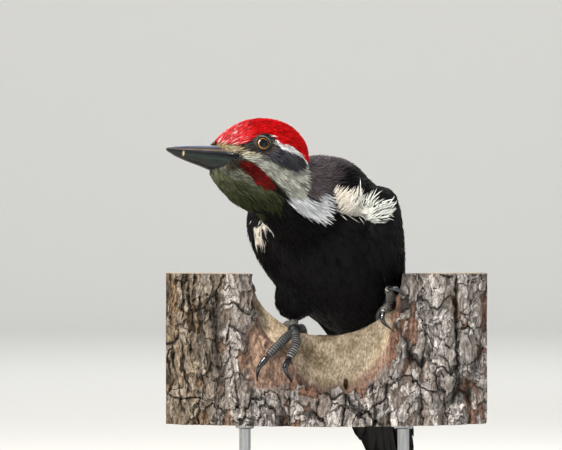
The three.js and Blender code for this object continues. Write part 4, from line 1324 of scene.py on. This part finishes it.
# ------------------------------------------------------------------ body feathers
# Rounded black contour feathers about 15 mm long overlap like tiles on the back and breast, and loose barbs
# between them soften their edges.

VANE = [(-1, 0), (0, 0.2), (1, 0), (0, 0.1)]


def on_trunk(points):
    b = into(BODY, points)
    return (round_neck(points)[0] < 0.3) & (b[:, 0] < 80)


roots = scatter(lambda p: on_trunk(p) & ~on_white(p), 4.0, 41)
path, up = lay(roots[:2], 15, 5, 2.4, 42, stray=0.12)
blades(
    "body_vanes", path, up, taper(len(path), 4.2, (0.35, 0.85, 1.0, 0.95, 0.7, 0), 44), VANE,
    markings_and_painted_light(roots[0])[0], roots[2], feather, "black_feathers", (0.8, 1.0), 0.1, 45, flat=True
)
roots = scatter(lambda p: on_trunk(p) & ~on_white(p), 1.7, 51)
path, up = lay(roots[:2], 11, 4, 3.0, 52, stray=0.2)
tint = markings_and_painted_light(roots[0])[0] * clumped(roots[0], 5, 0.7, 2.2, 56)
strands(
    "body_strands", roots, (path, up), 0.36, (0.8, 1, 0.9, 0.65, 0), tint, "black_feathers", (0.7, 1.1),
    0.2, 54
)

# ------------------------------------------------------------------ wings
# Body feathers cover the arm of each folded wing, and the long secondaries and primaries come out
# below them, each lying on the one under it. Stiff black vanes on glossy shafts.

WRAP_HALF = [(-98, 22), (-80, 25), (-55, 34), (-25, 42), (5, 46.5), (35, 47), (60, 41), (80, 30)]
WRAP_UP = [(-98, 15), (-80, 19), (-55, 28), (-25, 39), (5, 46), (35, 48), (60, 44), (80, 33)]
WRAP_DOWN = [(-98, 9), (-80, 18), (-55, 32), (-25, 44), (5, 50), (35, 48), (60, 40), (78, 27)]
WING_LOW = [(0, -24), (20, -30), (60, -34), (110, -22), (150, 4), (190, 30), (226, 50)]
WING_HIGH = [(0, 16), (20, 30), (60, 56), (110, 72), (150, 78), (190, 80), (226, 62)]
WING_THICK = [(0, 2), (6, 7), (18, 9.5), (50, 8), (90, 6), (150, 4), (226, 1.6)]
WING_STAND = {"left": 6, "right": 3}


def curve_at(curve, x):
    return np.interp(x, [p[0] for p in curve], [p[1] for p in curve])


def wing_place(side, back, t, sunk):
    """A place on the folded wing, in mm: back from its bend, t from its lower edge (0) to its upper."""
    hand = 1 if side == "left" else -1
    x = 60 - back
    at = np.maximum(x, -98)
    sag = np.maximum(0, -66 - x) * math.tan(math.radians(13))
    turn = np.radians(curve_at(WING_LOW, back) * (1 - t) + curve_at(WING_HIGH, back) * t)
    swell = np.sqrt(np.maximum(0, 1 - (2 * np.clip(t, 0, 1) - 1) ** 4))
    out = 1.2 + WING_STAND[side] * np.exp(-back / 34) + curve_at(WING_THICK, back) * swell - sunk
    tall = np.where(np.sin(turn) > 0, curve_at(WRAP_UP, at), curve_at(WRAP_DOWN, at))
    place = np.stack(
        [x, hand * np.cos(turn) * (curve_at(WRAP_HALF, at) + out), np.sin(turn) * (tall + out) - sag], -1
    )
    return out_of(BODY, place)


flight, tree, shader = new_material("flight_feather")
# A flight feather is stiffer and glossier than the body's, and black.
# Its barbs, 0.5 to 0.7 mm apart, slant from the shaft.
tint = add(tree, "ShaderNodeAttribute", attribute_name="tint").outputs["Color"]
vane_map = add(tree, "ShaderNodeUVMap", uv_map="vane").outputs[0]
parts = add(tree, "ShaderNodeSeparateXYZ", {0: vane_map})
off_shaft = add(tree, "ShaderNodeMath", {0: parts.outputs[1], 1: 0.5}, operation="SUBTRACT").outputs[0]
off_shaft = add(tree, "ShaderNodeMath", {0: off_shaft}, operation="ABSOLUTE").outputs[0]
slant = add(
    tree, "ShaderNodeMath", {0: off_shaft, 1: -0.16, 2: parts.outputs[0]}, operation="MULTIPLY_ADD"
).outputs[0]
barbs = add(tree, "ShaderNodeMath", {0: slant, 1: 1500}, operation="MULTIPLY").outputs[0]
barbs = add(tree, "ShaderNodeMath", {0: barbs}, operation="SINE").outputs[0]
bump = add(tree, "ShaderNodeBump", {"Height": barbs, "Strength": 0.22, "Distance": 0.0002})
tree.links.new(bump.outputs[0], shader.inputs["Normal"])
tree.links.new(tint, shader.inputs["Base Color"])
shader.inputs["Roughness"].default_value = 0.45
shader.inputs["Specular IOR Level"].default_value = 0.4


def feathers(name, rows, surface, width, point, seed, slot):
    """Long feathers along rows of (start, end, across, sunk), each with its shaft, on a surface."""
    steps = 16
    s = np.linspace(0, 1, steps + 1)
    path, up, half, shaft, shaft_half = [], [], [], [], []
    rng = np.random.default_rng(seed)
    for start, end, across, sunk in rows:
        back = start + (end - start) * s
        t = across[0] + (across[1] - across[0]) * s
        line = surface(back, t, sunk)
        beside = surface(back, t + 0.02, sunk)
        along = unit(np.gradient(line, axis=0))
        out = unit(np.cross(unit(beside - line), along))
        above = surface(back, t, sunk - 1) - line
        out *= np.sign((out * above).sum(1, keepdims=True))
        tilt = unit(out + 0.12 * unit(beside - line))
        form = np.interp(s, [0, 0.08, 0.3, 0.7, 0.88, 0.96, 1], [0.3, 0.75, 1, 0.95, *point, 0])
        path.append(line)
        up.append(tilt)
        half.append(width * form * rng.uniform(0.94, 1.06))
        shaft.append(line + out * (0.2 * half[-1][:, None] + 0.12))
        shaft_half.append(np.interp(s, [0, 1], [0.75, 0.22]))
    path, up, half, shaft, shaft_half = (np.array(a) for a in (path, up, half, shaft, shaft_half))
    root_uv = uv_near(path[:, 0])
    black = np.tile(linear("#141316")[:3], (len(path), 1))
    blades(
        name, path, up, half, [(-1, -0.1), (-0.45, 0.1), (0, 0.2), (0.45, 0.1), (1, -0.1), (0, 0.06)],
        black, root_uv, flight, slot, (0.9, 1.1), 0.1, seed
    )
    blades(
        name + "_shafts", shaft, up, shaft_half, STRAND, black * 1.6, root_uv, flight, slot, (1, 1), 0.05,
        seed
    )


def uv_near(points):
    """Where the skin nearest to each point lies on the skin's own flat map."""
    return np.array([corner_uv[skin_tree.find_nearest(p)[2]].mean(0) for p in points])


for side in ("left", "right"):
    surface = lambda back, t, sunk, side=side: wing_place(side, back, t, sunk)
    tips = [176, 193, 206, 216, 223, 226, 220, 209]
    rows = [(58, tip, (0.10 + 0.05 * k, 0.12 + 0.10 * k), 2.6 - 0.22 * k) for k, tip in enumerate(tips)]
    feathers(f"primaries_{side}_set", rows, surface, 6.8, (0.72, 0.42), 61, "black_feathers")
    ends = [168, 164, 158, 152, 146, 139, 131, 122]
    rows = [(44, end, (0.30 + 0.075 * k, 0.42 + 0.07 * k), 1.3 - 0.16 * k) for k, end in enumerate(ends)]
    feathers(f"secondaries_{side}_set", rows, surface, 8.4, (0.85, 0.6), 63, "black_feathers")
    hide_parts(f"primaries_{side}")

# ------------------------------------------------------------------ tail
# Ten stiff pointed feathers that prop a climbing bird, the middle pair longest and on top. Black, with
# thick glossy shafts.


def tail_place(back, t, sunk):
    x, y = -back, t
    arch = -7 * (y / 26.0) ** 2
    drop = math.radians(13)
    z = arch + np.interp(back, (0, 158), (4.0, 0.8)) - sunk
    turned = np.stack(
        [x * math.cos(drop) - z * math.sin(drop), y, x * math.sin(drop) + z * math.cos(drop)], -1
    )
    return out_of(BODY, turned + (-66, 0, 2))


rows = []
for pair in range(4, -1, -1):
    for hand in (1, -1):
        reach = [158, 155, 147, 134, 116][pair]
        sunk = 0.5 * pair + (0.2 if hand < 0 else 0)
        rows.append((2, reach, (hand * (2 + 2.4 * pair), hand * (3.2 + 4.9 * pair)), sunk))


feathers("tail_set", rows, tail_place, 8.6, (0.66, 0.36), 71, "tail_feathers")
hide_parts("tail")

# ------------------------------------------------------------------ white tufts
# Loose white strands fan out at the bend of the left wing, with spikes up to 19 mm long, and hang at
# the front of the right one, where the wings' linings show. Tan tufts point forward over the nostrils.

FAN = np.array((25, -30, 272.0))


def fan_lie(points):
    away = points - FAN
    away[:, 1] *= 0.2
    away[:, 2] = np.maximum(away[:, 2], 2)
    fan = unit(unit(away) + np.array((0.35, -0.1, 0)))
    soft = np.array((0.75, -0.1, 0.6))
    share = np.clip((points[:, :1] - 14) / 14, 0, 1)
    return unit(fan * share + soft * (1 - share))


def lining_tint(points, seed):
    """Cream by the neck and cooler towards the wing's bend, with each feather's strands of one shade."""
    cool = np.clip((points[:, :1] - 12) / 18, 0, 1)
    tint = np.array(linear("#ece4d8")[:3]) * (1 - cool) + np.array(linear("#dcdfda")[:3]) * cool
    return tint * clumped(points, 5, 0.72, 1.08, seed)


roots = scatter(on_shoulder, 0.9, 81)
path, up = lay(roots[:2], 9, 4, 4.0, 82, lie=fan_lie, settle=0.5, stray=0.16)
tint = lining_tint(roots[0], 83)
strands(
    "shoulder_tufts", roots, (path, up), 0.4, (0.9, 1, 0.8, 0.5, 0), tint, "black_feathers", (0.6, 1.1),
    0.1, 84
)
roots = scatter(lambda p: on_shoulder(p) & (p[:, 0] > 22), 2.0, 96)
path, up = lay(roots[:2], 15.5, 5, 4.8, 97, lie=fan_lie, settle=0.4, stray=0.16)
tint = lining_tint(roots[0], 98)
strands(
    "shoulder_spikes", roots, (path, up), 0.5, (0.9, 1, 0.9, 0.8, 0.55, 0), tint, "black_feathers",
    (0.8, 1.1), 0.1, 99
)

roots = scatter(on_right_lining, 0.75, 86)
path, up = lay(
    roots[:2], 10.5, 4, 2.2, 87, lie=lambda p: np.tile((0.05, -0.1, -1.0), (len(p), 1)), settle=0.8,
    stray=0.1
)
tint = lining_tint(roots[0], 90)
strands(
    "right_lining_tufts", roots, (path, up), 0.5, (0.9, 1, 0.8, 0.5, 0), tint, "black_feathers",
    (0.75, 1.1), 0.1, 88
)


def on_nostril(points):
    h = into(HEAD, points)
    return within(h[:, [0, 2]], TAN) & (np.abs(h[:, 1]) > 3) & (h[:, 0] < 30)


roots = scatter(on_nostril, 0.75, 91)
forward = HEAD[0][:, 0]
path, up = lay(
    roots[:2], 6, 4, 1.2, 92, lie=lambda p: np.tile(forward, (len(p), 1)), settle=0.8, stray=0.12
)
cream = np.interp(into(HEAD, roots[0])[:, 0], (15, 22), (0.85, 0))[:, None]
tint = np.array(linear("#8f7d59")[:3]) * (1 - cream) + np.array(linear("#c6c2ae")[:3]) * cream
strands(
    "nostril_tufts", roots, (path, up), 0.34, (0.9, 1, 0.8, 0.5, 0), tint, "crown_feathers", (0.6, 1.15),
    0.2, 94
)
